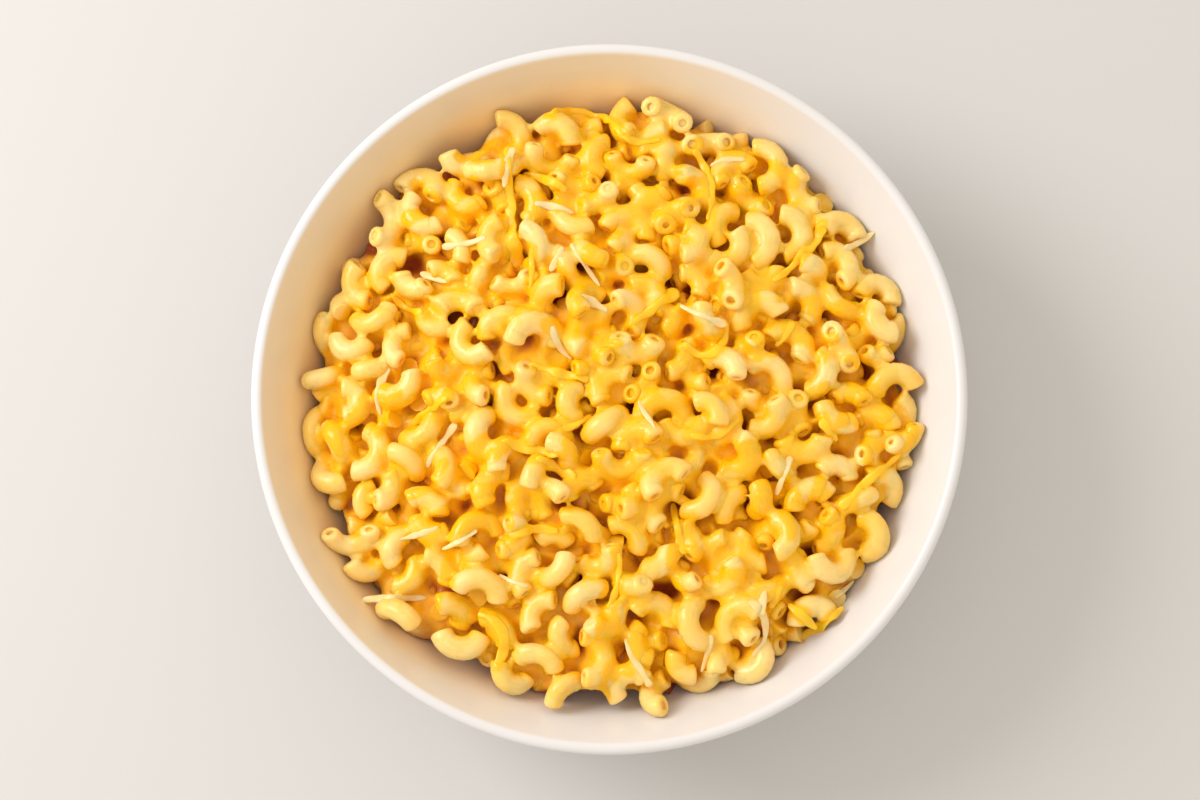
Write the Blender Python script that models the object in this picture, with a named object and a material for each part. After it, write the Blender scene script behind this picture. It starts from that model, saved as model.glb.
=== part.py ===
"""A round white bowl heaped with elbow macaroni in cheese sauce, modelled in metres with +Z up.

Two solids share one frame, whose origin is the centre of the foot's resting plane:
  bowl                  a turned bowl with a rolled lip, a straight flared wall and a foot ring
  macaroni_and_cheese   the heap, solid from the bowl's inside up to the outline of its elbows
"""

import math

import bmesh
import bpy
import numpy as np

MM = 0.001

# ---- the bowl ----
BOWL_RADIUS = 115.0 * MM
BOWL_HEIGHT = 62.0 * MM
WALL = 4.2 * MM
WALL_ANGLE = math.radians(60.0)  # above the horizontal
SHOULDER_RADIUS = 66.0 * MM  # the arc that joins the floor to the wall
FLOOR_TOP = 9.0 * MM
FOOT_RADIUS = 56.0 * MM
FOOT_WIDTH = 5.0 * MM
FOOT_CHAMFER = 1.0 * MM
TURN_STEPS = 64
SHOULDER_STEPS = 5
LIP_STEPS = 6

# ---- the elbows of the heap ----
ELBOW_COUNT = 600
ELBOW_SEED = 5
TUBE_RADII = (3.2 * MM, 3.8 * MM)
BEND_RADII = (4.8 * MM, 6.9 * MM)
BEND_ARCS = (math.radians(120.0), math.radians(204.0))
BEADS = 5  # spheres that stand for one elbow while the elbows are spread apart
END_INSET = 0.45  # how far the end beads stay inside the cut ends, in tube radii
LEAN = 0.28  # how far the bends lean from lying flat: 0 is flat, 1 is any way up

# ---- the bed that they lie on, and their layers ----
HEAP_SHIFT = (1.0 * MM, -1.6 * MM)  # the heap lies a little off the bowl's axis
HEAP_RADIUS = 101.0 * MM
BED_PEAK = 41.0 * MM
BED_EDGE = 28.0 * MM
LAYERS = 3
LAYER_RISE = 10.0 * MM
FIRST_RISE = 5.0 * MM
EDGE_MARGIN = 8.0 * MM
GOLDEN_ANGLE = math.radians(137.508)
LAYER_TURN = 1.1

# ---- how they are lowered and spread apart ----
LOWER_STEPS = 90
LOWER_FIRST = 0.50 * MM
LOWER_LAST = 0.05 * MM
SPREADS_PER_STEP = 4
SPREADS_AT_END = 40
NEAR = 22.0 * MM  # elbows with centres further apart than this cannot touch
STEPS_PER_LIST = 5
SHIFT_GAIN = 1.4
TURN_GAIN = 0.9
MOST_TURN = 0.25
GRAIN_DECIMALS = 7  # positions are kept to 0.1 micrometre, so every machine makes the same heap

# ---- how the heap's top is drawn ----
SEAT_GAP = 0.35 * MM  # between the heap and the bowl it lies in
TOP_SPACING = 1.2 * MM
TOP_HALF = 108.0 * MM
TOP_BEADS = 11
TOP_KEPT = 0.082  # share of the fine top's faces that the solid keeps
BLOCK_BOTTOM = -10.0 * MM

WHITE_GLAZE = (0.86, 0.84, 0.80, 1.0)
CHEESE_YELLOW = (0.93, 0.50, 0.07, 1.0)

# The lip's circle touches both faces of the wall, and the bowl's other radii follow from it.
LIP_RADIUS = WALL / 2.0
LIP_CENTRE = (BOWL_RADIUS - LIP_RADIUS, BOWL_HEIGHT - LIP_RADIUS)
SHOULDER_TOP = FLOOR_TOP + SHOULDER_RADIUS * (1.0 - math.cos(WALL_ANGLE))
WALL_TOP = LIP_CENTRE[1] + LIP_RADIUS * math.cos(WALL_ANGLE)
WALL_TOP_RADIUS = LIP_CENTRE[0] - LIP_RADIUS * math.sin(WALL_ANGLE)
SHOULDER_END = WALL_TOP_RADIUS - (WALL_TOP - SHOULDER_TOP) / math.tan(WALL_ANGLE)
FLOOR_RADIUS = SHOULDER_END - SHOULDER_RADIUS * math.sin(WALL_ANGLE)


def clear_scene():
    """Removes whatever the file opened with."""
    for obj in list(bpy.data.objects):
        bpy.data.objects.remove(obj)


def plain_material(name, colour, roughness):
    """A Principled material of one colour."""
    material = bpy.data.materials.new(name)
    material.use_nodes = True
    shader = material.node_tree.nodes["Principled BSDF"]
    shader.inputs["Base Color"].default_value = colour
    shader.inputs["Roughness"].default_value = roughness
    shader.inputs["Metallic"].default_value = 0.0
    return material


def linked(name, bm):
    """An object in the scene that holds a bmesh, which it frees."""
    bmesh.ops.recalc_face_normals(bm, faces=bm.faces)
    mesh = bpy.data.meshes.new(name)
    bm.to_mesh(mesh)
    bm.free()
    obj = bpy.data.objects.new(name, mesh)
    bpy.context.scene.collection.objects.link(obj)
    return obj


def turned(name, profile):
    """A solid turned about Z from (radius, height) points that start and end on the axis."""
    bm = bmesh.new()
    ring = [bm.verts.new((radius, 0.0, height)) for radius, height in profile]
    edges = [bm.edges.new(pair) for pair in zip(ring, ring[1:])]
    bmesh.ops.spin(
        bm,
        geom=ring + edges,
        cent=(0.0, 0.0, 0.0),
        axis=(0.0, 0.0, 1.0),
        angle=2.0 * math.pi,
        steps=TURN_STEPS,
        use_merge=True,
    )
    bmesh.ops.remove_doubles(bm, verts=bm.verts, dist=0.01 * MM)
    return linked(name, bm)


# ---------------------------------------------------------------- the bowl


def across_shoulder(radius):
    """Sine of the shoulder's angle at a distance from the bowl's axis."""
    return np.clip((radius - FLOOR_RADIUS) / SHOULDER_RADIUS, 0.0, math.sin(WALL_ANGLE))


def inside_height(radius):
    """Height of the bowl's inside at a distance from its axis: a flat floor, an arc, a straight wall."""
    on_arc = FLOOR_TOP + SHOULDER_RADIUS * (1.0 - np.sqrt(1.0 - across_shoulder(radius) ** 2))
    return on_arc + np.maximum(radius - SHOULDER_END, 0.0) * math.tan(WALL_ANGLE)


def shoulder_points(offset, first_angle=0.0):
    """Points (radius, height) up the arc between floor and wall, moved by offset into the wall."""
    reach = SHOULDER_RADIUS + offset
    points = []
    for step in range(SHOULDER_STEPS + 1):
        angle = first_angle + (WALL_ANGLE - first_angle) * step / SHOULDER_STEPS
        radius = FLOOR_RADIUS + reach * math.sin(angle)
        points.append((radius, FLOOR_TOP + SHOULDER_RADIUS - reach * math.cos(angle)))
    return points


def bowl_profile():
    """The section from the middle of the floor, over the lip, to the middle of the underside."""
    lip = []
    for step in range(LIP_STEPS + 1):
        angle = math.radians(90.0) + WALL_ANGLE - math.pi * step / LIP_STEPS
        radius = LIP_CENTRE[0] + LIP_RADIUS * math.cos(angle)
        lip.append((radius, LIP_CENTRE[1] + LIP_RADIUS * math.sin(angle)))
    at_foot = math.asin((FOOT_RADIUS - FLOOR_RADIUS) / (SHOULDER_RADIUS + WALL))
    outside = shoulder_points(WALL, at_foot)[::-1]
    underside = FLOOR_TOP - WALL
    foot_inside = FOOT_RADIUS - FOOT_WIDTH
    foot = [
        (FOOT_RADIUS, FOOT_CHAMFER),
        (FOOT_RADIUS - FOOT_CHAMFER, 0.0),
        (foot_inside + FOOT_CHAMFER, 0.0),
        (foot_inside, FOOT_CHAMFER),
        (foot_inside - FOOT_CHAMFER, underside),
        (0.0, underside),
    ]
    return [(0.0, FLOOR_TOP)] + shoulder_points(0.0) + lip + outside + foot


def make_bowl():
    """The turned bowl."""
    bowl = turned("bowl", bowl_profile())
    bowl.data.materials.append(plain_material("white_glaze", WHITE_GLAZE, 0.18))
    bowl.data.shade_smooth()
    bowl.data.set_sharp_from_angle(angle=math.radians(35.0))
    return bowl


# ---------------------------------------------------------------- where the elbows lie


def bed_height(x, y):
    """Height of the packed bed under the loose elbows, a low dome."""
    out = np.hypot(x - HEAP_SHIFT[0], y - HEAP_SHIFT[1]) / HEAP_RADIUS
    return BED_EDGE + (BED_PEAK - BED_EDGE) * (1.0 - out**2)


def matrices(quaternions):
    """Rotation matrices of unit quaternions."""
    w, x, y, z = quaternions.T
    rows = [
        np.stack([1 - 2 * (y * y + z * z), 2 * (x * y - z * w), 2 * (x * z + y * w)], -1),
        np.stack([2 * (x * y + z * w), 1 - 2 * (x * x + z * z), 2 * (y * z - x * w)], -1),
        np.stack([2 * (x * z - y * w), 2 * (y * z + x * w), 1 - 2 * (x * x + y * y)], -1),
    ]
    return np.stack(rows, -2)


def turned_by(turns, points):
    """Each elbow's own points, turned into the bowl's directions."""
    return sum(turns[:, None, :, k] * points[:, :, None, k] for k in range(3))


def unit(vectors):
    """Vectors at unit length."""
    return vectors / np.sqrt((vectors**2).sum(-1, keepdims=True))


def centre_line(tube, bend, arc, count):
    """Points along each elbow's centre line, which is an arc about the origin of the elbow's own axes."""
    half = arc / 2.0 - END_INSET * tube / bend
    angles = half[:, None] * np.linspace(-1.0, 1.0, count)[None]
    return bend[:, None, None] * np.stack([np.sin(angles), np.cos(angles), 0.0 * angles], -1)


def push_apart(beads, tube, near):
    """How far each bead has to move to leave its neighbours, and how many it touches."""
    one, other = near
    between = beads[one][:, :, None] - beads[other][:, None]
    apart = np.sqrt((between**2).sum(-1)) + 1e-12
    shared = np.maximum((tube[one] + tube[other])[:, None, None] - apart, 0.0)
    move = between / apart[..., None] * (shared * 0.5)[..., None]
    push = np.zeros_like(beads)
    touching = np.zeros(beads.shape[:2])
    np.add.at(push, one, move.sum(2))
    np.add.at(push, other, -move.sum(1))
    np.add.at(touching, one, (shared > 0.0).sum(2))
    np.add.at(touching, other, (shared > 0.0).sum(1))
    return push, touching


def push_inside(beads, tube):
    """How far each bead has to move to clear the bowl and the bed, and how many of the two it touches."""
    x, y, z = (beads[..., k] for k in range(3))
    radius = np.hypot(x, y) + 1e-9
    sine = across_shoulder(radius)
    cosine = np.sqrt(1.0 - sine**2)
    sunk = np.maximum((inside_height(radius) - z) * cosine + tube[:, None], 0.0)
    push = sunk[..., None] * np.stack([-sine * x / radius, -sine * y / radius, cosine], -1)
    in_bed = np.maximum(bed_height(x, y) + tube[:, None] - z, 0.0)
    push[..., 2] += in_bed
    return push, (sunk > 0.0).astype(float) + (in_bed > 0.0)


def spread(places, turns, line, tube, near):
    """Moves and turns each elbow once, out of whatever shares its space."""
    arms = turned_by(turns, line)
    beads = places[:, None] + arms
    push, touching = push_apart(beads, tube, near)
    more_push, more_touching = push_inside(beads, tube)
    push += more_push
    touches = np.maximum((touching + more_touching).sum(1), 1.0)[:, None]
    places = places + push.sum(1) / touches * SHIFT_GAIN
    twist = np.cross(arms, push).sum(1) / (line**2).sum((1, 2))[:, None]
    twist = twist * TURN_GAIN / np.maximum(touches / BEADS, 1.0)
    size = np.sqrt((twist**2).sum(1, keepdims=True))
    twist = twist * np.minimum(1.0, MOST_TURN / np.maximum(size, 1e-9))
    step = matrices(unit(np.concatenate([np.ones_like(size), twist / 2.0], 1)))
    turns = sum(step[:, :, k, None] * turns[:, None, k, :] for k in range(3))
    return np.round(places, GRAIN_DECIMALS), np.round(turns, GRAIN_DECIMALS)


def lay_elbows():
    """Sizes and places of the elbows: laid in layers over the bed, lowered and spread until they rest.

    The elbow's own axes have its bend in the XY plane, and its place is the mean of its beads.
    """
    draw = np.random.RandomState(ELBOW_SEED)
    tube = draw.uniform(*TUBE_RADII, ELBOW_COUNT)
    bend = draw.uniform(*BEND_RADII, ELBOW_COUNT)
    arc = draw.uniform(*BEND_ARCS, ELBOW_COUNT)
    line = centre_line(tube, bend, arc, BEADS)
    middle = line.mean(1, keepdims=True)
    line = line - middle
    per_layer = ELBOW_COUNT // LAYERS
    layer, index = np.divmod(np.arange(ELBOW_COUNT), per_layer)
    out = (HEAP_RADIUS - EDGE_MARGIN) * np.sqrt((index + 0.5) / per_layer)
    angle = index * GOLDEN_ANGLE + layer * LAYER_TURN
    x = HEAP_SHIFT[0] + out * np.cos(angle)
    y = HEAP_SHIFT[1] + out * np.sin(angle)
    places = np.stack([x, y, bed_height(x, y) + FIRST_RISE + layer * LAYER_RISE], -1)
    turns = matrices(unit(draw.normal(size=(ELBOW_COUNT, 4)) * np.array([1.0, LEAN, LEAN, 1.0])))
    for step in range(LOWER_STEPS):
        places[:, 2] -= LOWER_LAST + (LOWER_FIRST - LOWER_LAST) * (1.0 - step / LOWER_STEPS)
        if step % STEPS_PER_LIST == 0:
            gaps = places[:, None] - places[None]
            near = np.nonzero(np.triu((gaps**2).sum(-1) < NEAR**2, 1))
        for _ in range(SPREADS_PER_STEP):
            places, turns = spread(places, turns, line, tube, near)
    for _ in range(SPREADS_AT_END):
        places, turns = spread(places, turns, line, tube, near)
    return {"tube": tube, "bend": bend, "arc": arc, "place": places, "turn": turns, "middle": middle}


# ---------------------------------------------------------------- the heap


def top_heights(elbows, axis):
    """Heights of the heap's top on the square grid that has these coordinates on both axes."""
    heights = bed_height(axis[:, None], axis[None, :])
    line = centre_line(elbows["tube"], elbows["bend"], elbows["arc"], TOP_BEADS)
    beads = elbows["place"][:, None] + turned_by(elbows["turn"], line - elbows["middle"])
    for centre, radius in zip(beads.reshape(-1, 3), np.repeat(elbows["tube"], TOP_BEADS)):
        first = np.searchsorted(axis, centre[:2] - radius)
        last = np.searchsorted(axis, centre[:2] + radius)
        x = axis[first[0] : last[0], None] - centre[0]
        y = axis[None, first[1] : last[1]] - centre[1]
        above = radius**2 - x**2 - y**2
        dome = np.where(above > 0.0, centre[2] + np.sqrt(np.maximum(above, 0.0)), 0.0)
        window = heights[first[0] : last[0], first[1] : last[1]]
        np.maximum(window, dome, out=window)
    return heights


def heap_block(elbows):
    """A block whose top is the heap's fine relief and whose bottom lies under the bowl."""
    steps = int(round(2.0 * TOP_HALF / TOP_SPACING))
    axis = np.linspace(-TOP_HALF, TOP_HALF, steps + 1)
    heights = top_heights(elbows, axis)
    bm = bmesh.new()
    bmesh.ops.create_grid(bm, x_segments=steps, y_segments=steps, size=TOP_HALF)
    for vert in bm.verts:
        column = int(round((vert.co.x + TOP_HALF) / TOP_SPACING))
        row = int(round((vert.co.y + TOP_HALF) / TOP_SPACING))
        vert.co.z = heights[column, row]
    rim = [edge for edge in bm.edges if edge.is_boundary]
    skirt = bmesh.ops.extrude_edge_only(bm, edges=rim)["geom"]
    for vert in skirt:
        if isinstance(vert, bmesh.types.BMVert):
            vert.co.z = BLOCK_BOTTOM
    open_edges = [edge for edge in bm.edges if edge.is_boundary]
    bmesh.ops.edgeloop_fill(bm, edges=open_edges)
    return linked("macaroni_and_cheese", bm)


def bowl_hollow():
    """The bowl's inside less the seat gap, up past the heap: it cuts the heap's underside."""
    profile = [(0.0, FLOOR_TOP + SEAT_GAP)] + shoulder_points(-SEAT_GAP)
    radius, height = profile[-1]
    above = 2.0 * BOWL_HEIGHT
    profile.append((radius + (above - height) / math.tan(WALL_ANGLE), above))
    profile.append((0.0, above))
    hollow = turned("bowl_hollow", profile)
    hollow.hide_render = True
    hollow.display_type = "WIRE"
    return hollow


def make_heap():
    """The heap of elbows as one solid, seated in the bowl."""
    heap = heap_block(lay_elbows())
    fewer = heap.modifiers.new("fewer_faces", "DECIMATE")
    fewer.ratio = TOP_KEPT
    seat = heap.modifiers.new("seat_in_bowl", "BOOLEAN")
    seat.operation = "INTERSECT"
    seat.solver = "EXACT"
    seat.object = bowl_hollow()
    heap.data.materials.append(plain_material("cheese_sauce", CHEESE_YELLOW, 0.35))
    return heap


def main():
    """Builds both solids."""
    clear_scene()
    make_bowl()
    make_heap()


main()
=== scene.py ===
"""Looks of a bowl of macaroni and cheese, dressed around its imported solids.

Everything is in metres in the row's frame: +Z up, the origin under the middle of the foot ring.
The heap's solid was drawn from elbows laid by a rule. The same rule lays them here, so the real
elbows, the sauce between them and the shredded cheese on top fill the solid's outline.
"""

import logging
import math
from dataclasses import dataclass, field
from enum import Enum
from typing import Iterable, Sequence

import bmesh
import bpy
import numpy as np
from mathutils import Matrix, Vector, noise
from mathutils.bvhtree import BVHTree
from mathutils.kdtree import KDTree


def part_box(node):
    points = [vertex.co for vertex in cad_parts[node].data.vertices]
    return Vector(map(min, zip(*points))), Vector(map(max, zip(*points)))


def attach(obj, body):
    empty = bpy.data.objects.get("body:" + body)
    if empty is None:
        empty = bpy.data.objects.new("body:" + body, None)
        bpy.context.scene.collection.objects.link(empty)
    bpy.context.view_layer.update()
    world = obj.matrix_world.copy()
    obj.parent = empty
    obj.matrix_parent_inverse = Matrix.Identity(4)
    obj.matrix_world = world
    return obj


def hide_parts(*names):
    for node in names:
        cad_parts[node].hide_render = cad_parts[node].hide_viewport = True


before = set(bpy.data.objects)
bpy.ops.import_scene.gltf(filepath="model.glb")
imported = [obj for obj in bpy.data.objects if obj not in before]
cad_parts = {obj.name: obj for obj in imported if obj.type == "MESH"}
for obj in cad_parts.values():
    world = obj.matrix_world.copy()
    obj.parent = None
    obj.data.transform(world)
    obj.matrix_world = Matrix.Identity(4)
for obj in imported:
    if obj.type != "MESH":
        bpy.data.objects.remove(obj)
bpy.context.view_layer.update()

MM = 0.001
Colour = tuple[float, float, float, float]
Socket = bpy.types.NodeSocket
LOG = logging.getLogger("macaroni")


# ---------------------------------------------------------------- node trees


class Tree:
    """A node tree that is written as nested calls, one for each node."""

    def __init__(self, tree: bpy.types.NodeTree) -> None:
        """Starts from a tree's own nodes.

        Args:
            tree: a material's node tree or a node group.
        """
        self.tree = tree

    def node(self, kind: str, inputs: dict[str, object] | None = None, **settings: object) -> bpy.types.Node:
        """Adds one node.

        Args:
            kind: the node's type, such as ShaderNodeBump.
            inputs: values or sockets for its inputs, by name.
            settings: the node's own properties.

        Returns:
            The new node.
        """
        made = self.tree.nodes.new(kind)
        for name, value in settings.items():
            setattr(made, name, value)
        for name, value in (inputs or {}).items():
            self.feed(made.inputs[name], value)
        return made

    def feed(self, socket: Socket, value: object) -> None:
        """Links a socket to an input, or sets the input's own value.

        Args:
            socket: the input.
            value: an output socket, a number, a vector or a colour.
        """
        if isinstance(value, bpy.types.NodeSocket):
            self.tree.links.new(value, socket)
        else:
            socket.default_value = value

    def place(self) -> Socket:
        """The point being shaded, in the object's own axes."""
        return self.node("ShaderNodeTexCoord").outputs["Object"]

    def stored(self, name: str) -> Socket:
        """A number stored on the mesh under this name."""
        return self.node("ShaderNodeAttribute", attribute_name=name).outputs["Fac"]

    def noise(self, place: Socket, scale: object, detail: float = 2.0, rough: float = 0.5) -> Socket:
        """Soft noise about 0.5, with cells of 1 / scale metres."""
        inputs = {"Vector": place, "Scale": scale, "Detail": detail, "Roughness": rough}
        return self.node("ShaderNodeTexNoise", inputs).outputs["Fac"]

    def ramp(
        self,
        value: Socket,
        low: object,
        high: object,
        to_low: float = 0.0,
        to_high: float = 1.0,
    ) -> Socket:
        """A value taken smoothly from the span low to high onto the span to_low to to_high."""
        inputs = {"Value": value, "From Min": low, "From Max": high, "To Min": to_low, "To Max": to_high}
        return self.node("ShaderNodeMapRange", inputs, interpolation_type="SMOOTHSTEP").outputs["Result"]

    def math(self, operation: str, first: object, second: object = 0.0) -> Socket:
        """One arithmetic step.

        Args:
            operation: the Math node's operation.
            first: the first number or socket.
            second: the second one.

        Returns:
            The result.
        """
        made = self.node("ShaderNodeMath", operation=operation)
        self.feed(made.inputs[0], first)
        self.feed(made.inputs[1], second)
        return made.outputs[0]

    def mix(self, share: object, first: object, second: object) -> Socket:
        """Two colours mixed by a share.

        Args:
            share: how much of the second colour there is.
            first: the first colour or socket.
            second: the second one.

        Returns:
            The mixed colour.
        """
        made = self.node("ShaderNodeMix", data_type="RGBA")
        self.feed(made.inputs[0], share)
        self.feed(made.inputs[6], first)
        self.feed(made.inputs[7], second)
        return made.outputs[2]

    def bump(self, height: Socket, strength: float, distance: float) -> Socket:
        """The normal that a height gives; distance is the height's full size in metres."""
        inputs = {"Height": height, "Strength": strength, "Distance": distance}
        return self.node("ShaderNodeBump", inputs).outputs["Normal"]


class Effect:
    """A shader node group that several finishes share, built once."""

    def __init__(self, name: str, inputs: dict[str, float], outputs: Sequence[str]) -> None:
        """Makes the empty group.

        Args:
            name: the group's name.
            inputs: its number inputs and their defaults; a Vector input for the place comes first.
            outputs: its number outputs.
        """
        self.group = bpy.data.node_groups.new(name, "ShaderNodeTree")
        sockets = self.group.interface
        sockets.new_socket("Place", in_out="INPUT", socket_type="NodeSocketVector")
        for title, default in inputs.items():
            made = sockets.new_socket(title, in_out="INPUT", socket_type="NodeSocketFloat")
            made.default_value = default
        for title in outputs:
            sockets.new_socket(title, in_out="OUTPUT", socket_type="NodeSocketFloat")
        self.tree = Tree(self.group)
        self.inside = self.tree.node("NodeGroupInput").outputs
        self.result = self.tree.node("NodeGroupOutput").inputs

    def placed(self, tree: Tree, place: Socket, **values: object) -> bpy.types.Node:
        """Adds the group to a material.

        Args:
            tree: the material's tree.
            place: the point being shaded.
            values: the group's other inputs.

        Returns:
            The group's node.
        """
        made = tree.node("ShaderNodeGroup", node_tree=self.group)
        tree.feed(made.inputs["Place"], place)
        for title, value in values.items():
            tree.feed(made.inputs[title], value)
        return made


class Patches(Effect):
    """Soft irregular patches, as sauce and melted cheese lie in."""

    def __init__(self) -> None:
        """Builds the group: one noise, sharpened about a level."""
        super().__init__("soft_patches", {"Scale": 80.0, "Level": 0.5, "Edge": 0.1}, ["Mask"])
        cells = self.tree.noise(self.inside["Place"], self.inside["Scale"], 2.0, 0.55)
        low = self.tree.math("SUBTRACT", self.inside["Level"], self.inside["Edge"])
        high = self.tree.math("ADD", self.inside["Level"], self.inside["Edge"])
        self.tree.feed(self.result["Mask"], self.tree.ramp(cells, low, high))


class WetRelief(Effect):
    """The fine unevenness of a moist, coated surface."""

    def __init__(self) -> None:
        """Builds the group: lumps of one size with finer ones on them."""
        super().__init__("wet_relief", {"Lumps": 260.0, "Grain": 900.0, "Grain Share": 0.3}, ["Height"])
        lumps = self.tree.noise(self.inside["Place"], self.inside["Lumps"], 1.5, 0.5)
        grain = self.tree.noise(self.inside["Place"], self.inside["Grain"], 2.0, 0.6)
        share = self.tree.math("MULTIPLY", grain, self.inside["Grain Share"])
        self.tree.feed(self.result["Height"], self.tree.math("ADD", lumps, share))


@dataclass
class Effects:
    """The effects that the finishes share."""

    patches: Patches = field(default_factory=Patches)
    relief: WetRelief = field(default_factory=WetRelief)


# ---------------------------------------------------------------- finishes


def fresh_material(name: str) -> tuple[bpy.types.Material, Tree, bpy.types.Node]:
    """A material with its shader.

    Args:
        name: the material's name.

    Returns:
        The material, its tree and its Principled shader.
    """
    material = bpy.data.materials.new(name)
    material.use_nodes = True
    return material, Tree(material.node_tree), material.node_tree.nodes["Principled BSDF"]


def soak(shader: bpy.types.Node, share: float, reach: Sequence[float], scale: float) -> None:
    """Lets light soak into a finish.

    Args:
        shader: the finish's Principled shader.
        share: how much of the light goes in.
        reach: how far red, green and blue go, as shares of the scale.
        scale: the longest way in metres.
    """
    shader.inputs["Subsurface Weight"].default_value = share
    shader.inputs["Subsurface Radius"].default_value = reach
    shader.inputs["Subsurface Scale"].default_value = scale


@dataclass(frozen=True)
class PastaFinish:
    """Cooked macaroni, and the cheese sauce on it.

    The mesh stores "tint", how golden each elbow is, "melt", where cheddar has melted, "crest", how far
    a point stands above what is round it, and "depth", how far it lies below the heap's envelope. Streaks,
    tints and patches add up to how golden a point is. Low places are painted more golden and crests paler,
    painted shade and painted highlight. Deep places are painted darker and the deepest hollows reddish brown,
    with a lower specular level: painted shade.
    """

    name: str
    pale: Colour = (0.905, 0.65, 0.225, 1.0)
    golden: Colour = (0.93, 0.51, 0.012, 1.0)
    cheddar: Colour = (0.94, 0.49, 0.003, 1.0)
    # painted shade: deep places are painted orange-brown and the deepest hollows dark reddish brown
    deep: Colour = (0.66, 0.20, 0.03, 1.0)
    painted_pit_shade: Colour = (0.33, 0.045, 0.02, 1.0)
    gold_of_streaks: float = 0.35
    gold_of_tint: float = 0.4
    gold_of_patches: float = 0.35
    # painted shade and painted highlight: low places more golden, crests paler
    crest_shade_and_highlight: tuple[float, float] = (0.8, -0.3)
    crest_from_to: tuple[float, float] = (-2.2 * MM, 4.0 * MM)
    melt_from_to: tuple[float, float] = (0.15, 0.75)
    deep_shade_from_to: tuple[float, float] = (7.0 * MM, 17.5 * MM)
    most_deep_shade: float = 0.86
    pit_shade_from_to: tuple[float, float] = (10.0 * MM, 14.0 * MM)
    most_pit_shade: float = 0.85
    roughness: float = 0.31
    streak_roughness: tuple[float, float] = (0.08, -0.06)
    # painted shade on reflections: the specular level is lower deep down
    specular_dimmed_in_shade: tuple[float, float] = (0.45, 0.25)
    specular_shade_from_to: tuple[float, float] = (3.0 * MM, 9.0 * MM)
    relief: float = 0.3 * MM
    through: float = 0.45
    reach: tuple[float, float, float] = (1.0, 0.45, 0.12)
    reach_scale: float = 2.8 * MM

    def made(self, effects: Effects) -> bpy.types.Material:
        """Builds the material.

        Args:
            effects: the shared node groups.

        Returns:
            The material.
        """
        material, tree, shader = fresh_material(self.name)
        place = tree.place()
        streaks = effects.patches.placed(tree, place, Scale=110.0, Level=0.5, Edge=0.14).outputs["Mask"]
        patches = effects.patches.placed(tree, place, Scale=34.0, Level=0.5, Edge=0.12).outputs["Mask"]
        depth = tree.stored("depth")
        gold = tree.math("MULTIPLY", streaks, self.gold_of_streaks)
        gold = tree.math("ADD", gold, tree.math("MULTIPLY", tree.stored("tint"), self.gold_of_tint))
        gold = tree.math("ADD", gold, tree.math("MULTIPLY", patches, self.gold_of_patches))
        # painted shade and painted highlight: more golden low down, paler on crests
        crests = tree.ramp(tree.stored("crest"), *self.crest_from_to, *self.crest_shade_and_highlight)
        base = tree.mix(tree.math("ADD", gold, crests), self.pale, self.golden)
        colour = tree.mix(tree.ramp(tree.stored("melt"), *self.melt_from_to), base, self.cheddar)
        # painted shade: darker and redder the deeper a place lies below the heap's envelope
        colour = tree.mix(tree.ramp(depth, *self.deep_shade_from_to, 0.0, self.most_deep_shade), colour, self.deep)
        colour = tree.mix(tree.ramp(depth, *self.pit_shade_from_to, 0.0, self.most_pit_shade), colour, self.painted_pit_shade)
        tree.feed(shader.inputs["Base Color"], colour)
        rough = [self.roughness + change for change in self.streak_roughness]
        tree.feed(shader.inputs["Roughness"], tree.ramp(streaks, 0.0, 1.0, *rough))
        height = effects.relief.placed(tree, place, Lumps=280.0, Grain=1100.0).outputs["Height"]
        tree.feed(shader.inputs["Normal"], tree.bump(height, strength=0.6, distance=self.relief))
        # painted shade on reflections: lower specular level the deeper a place lies
        tree.feed(shader.inputs["Specular IOR Level"], tree.ramp(depth, *self.specular_shade_from_to, *self.specular_dimmed_in_shade))
        soak(shader, self.through, self.reach, self.reach_scale)
        return material


@dataclass(frozen=True)
class ShredFinish:
    """Grated cheese, partly melted."""

    name: str
    colour: Colour
    shade: Colour
    roughness: float
    through: float
    streak_roughness: float = 0.1
    relief: float = 0.2 * MM
    reach: tuple[float, float, float] = (1.0, 0.6, 0.25)
    reach_scale: float = 2.0 * MM

    def made(self, effects: Effects) -> bpy.types.Material:
        """Builds the material.

        Args:
            effects: the shared node groups.

        Returns:
            The material.
        """
        material, tree, shader = fresh_material(self.name)
        place = tree.place()
        streaks = effects.patches.placed(tree, place, Scale=170.0, Level=0.5, Edge=0.2).outputs["Mask"]
        tree.feed(shader.inputs["Base Color"], tree.mix(streaks, self.colour, self.shade))
        rough = self.roughness, self.roughness + self.streak_roughness
        tree.feed(shader.inputs["Roughness"], tree.ramp(streaks, 0.0, 1.0, *rough))
        height = effects.relief.placed(tree, place, Lumps=500.0, Grain=1500.0).outputs["Height"]
        tree.feed(shader.inputs["Normal"], tree.bump(height, strength=0.5, distance=self.relief))
        soak(shader, self.through, self.reach, self.reach_scale)
        return material


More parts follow.
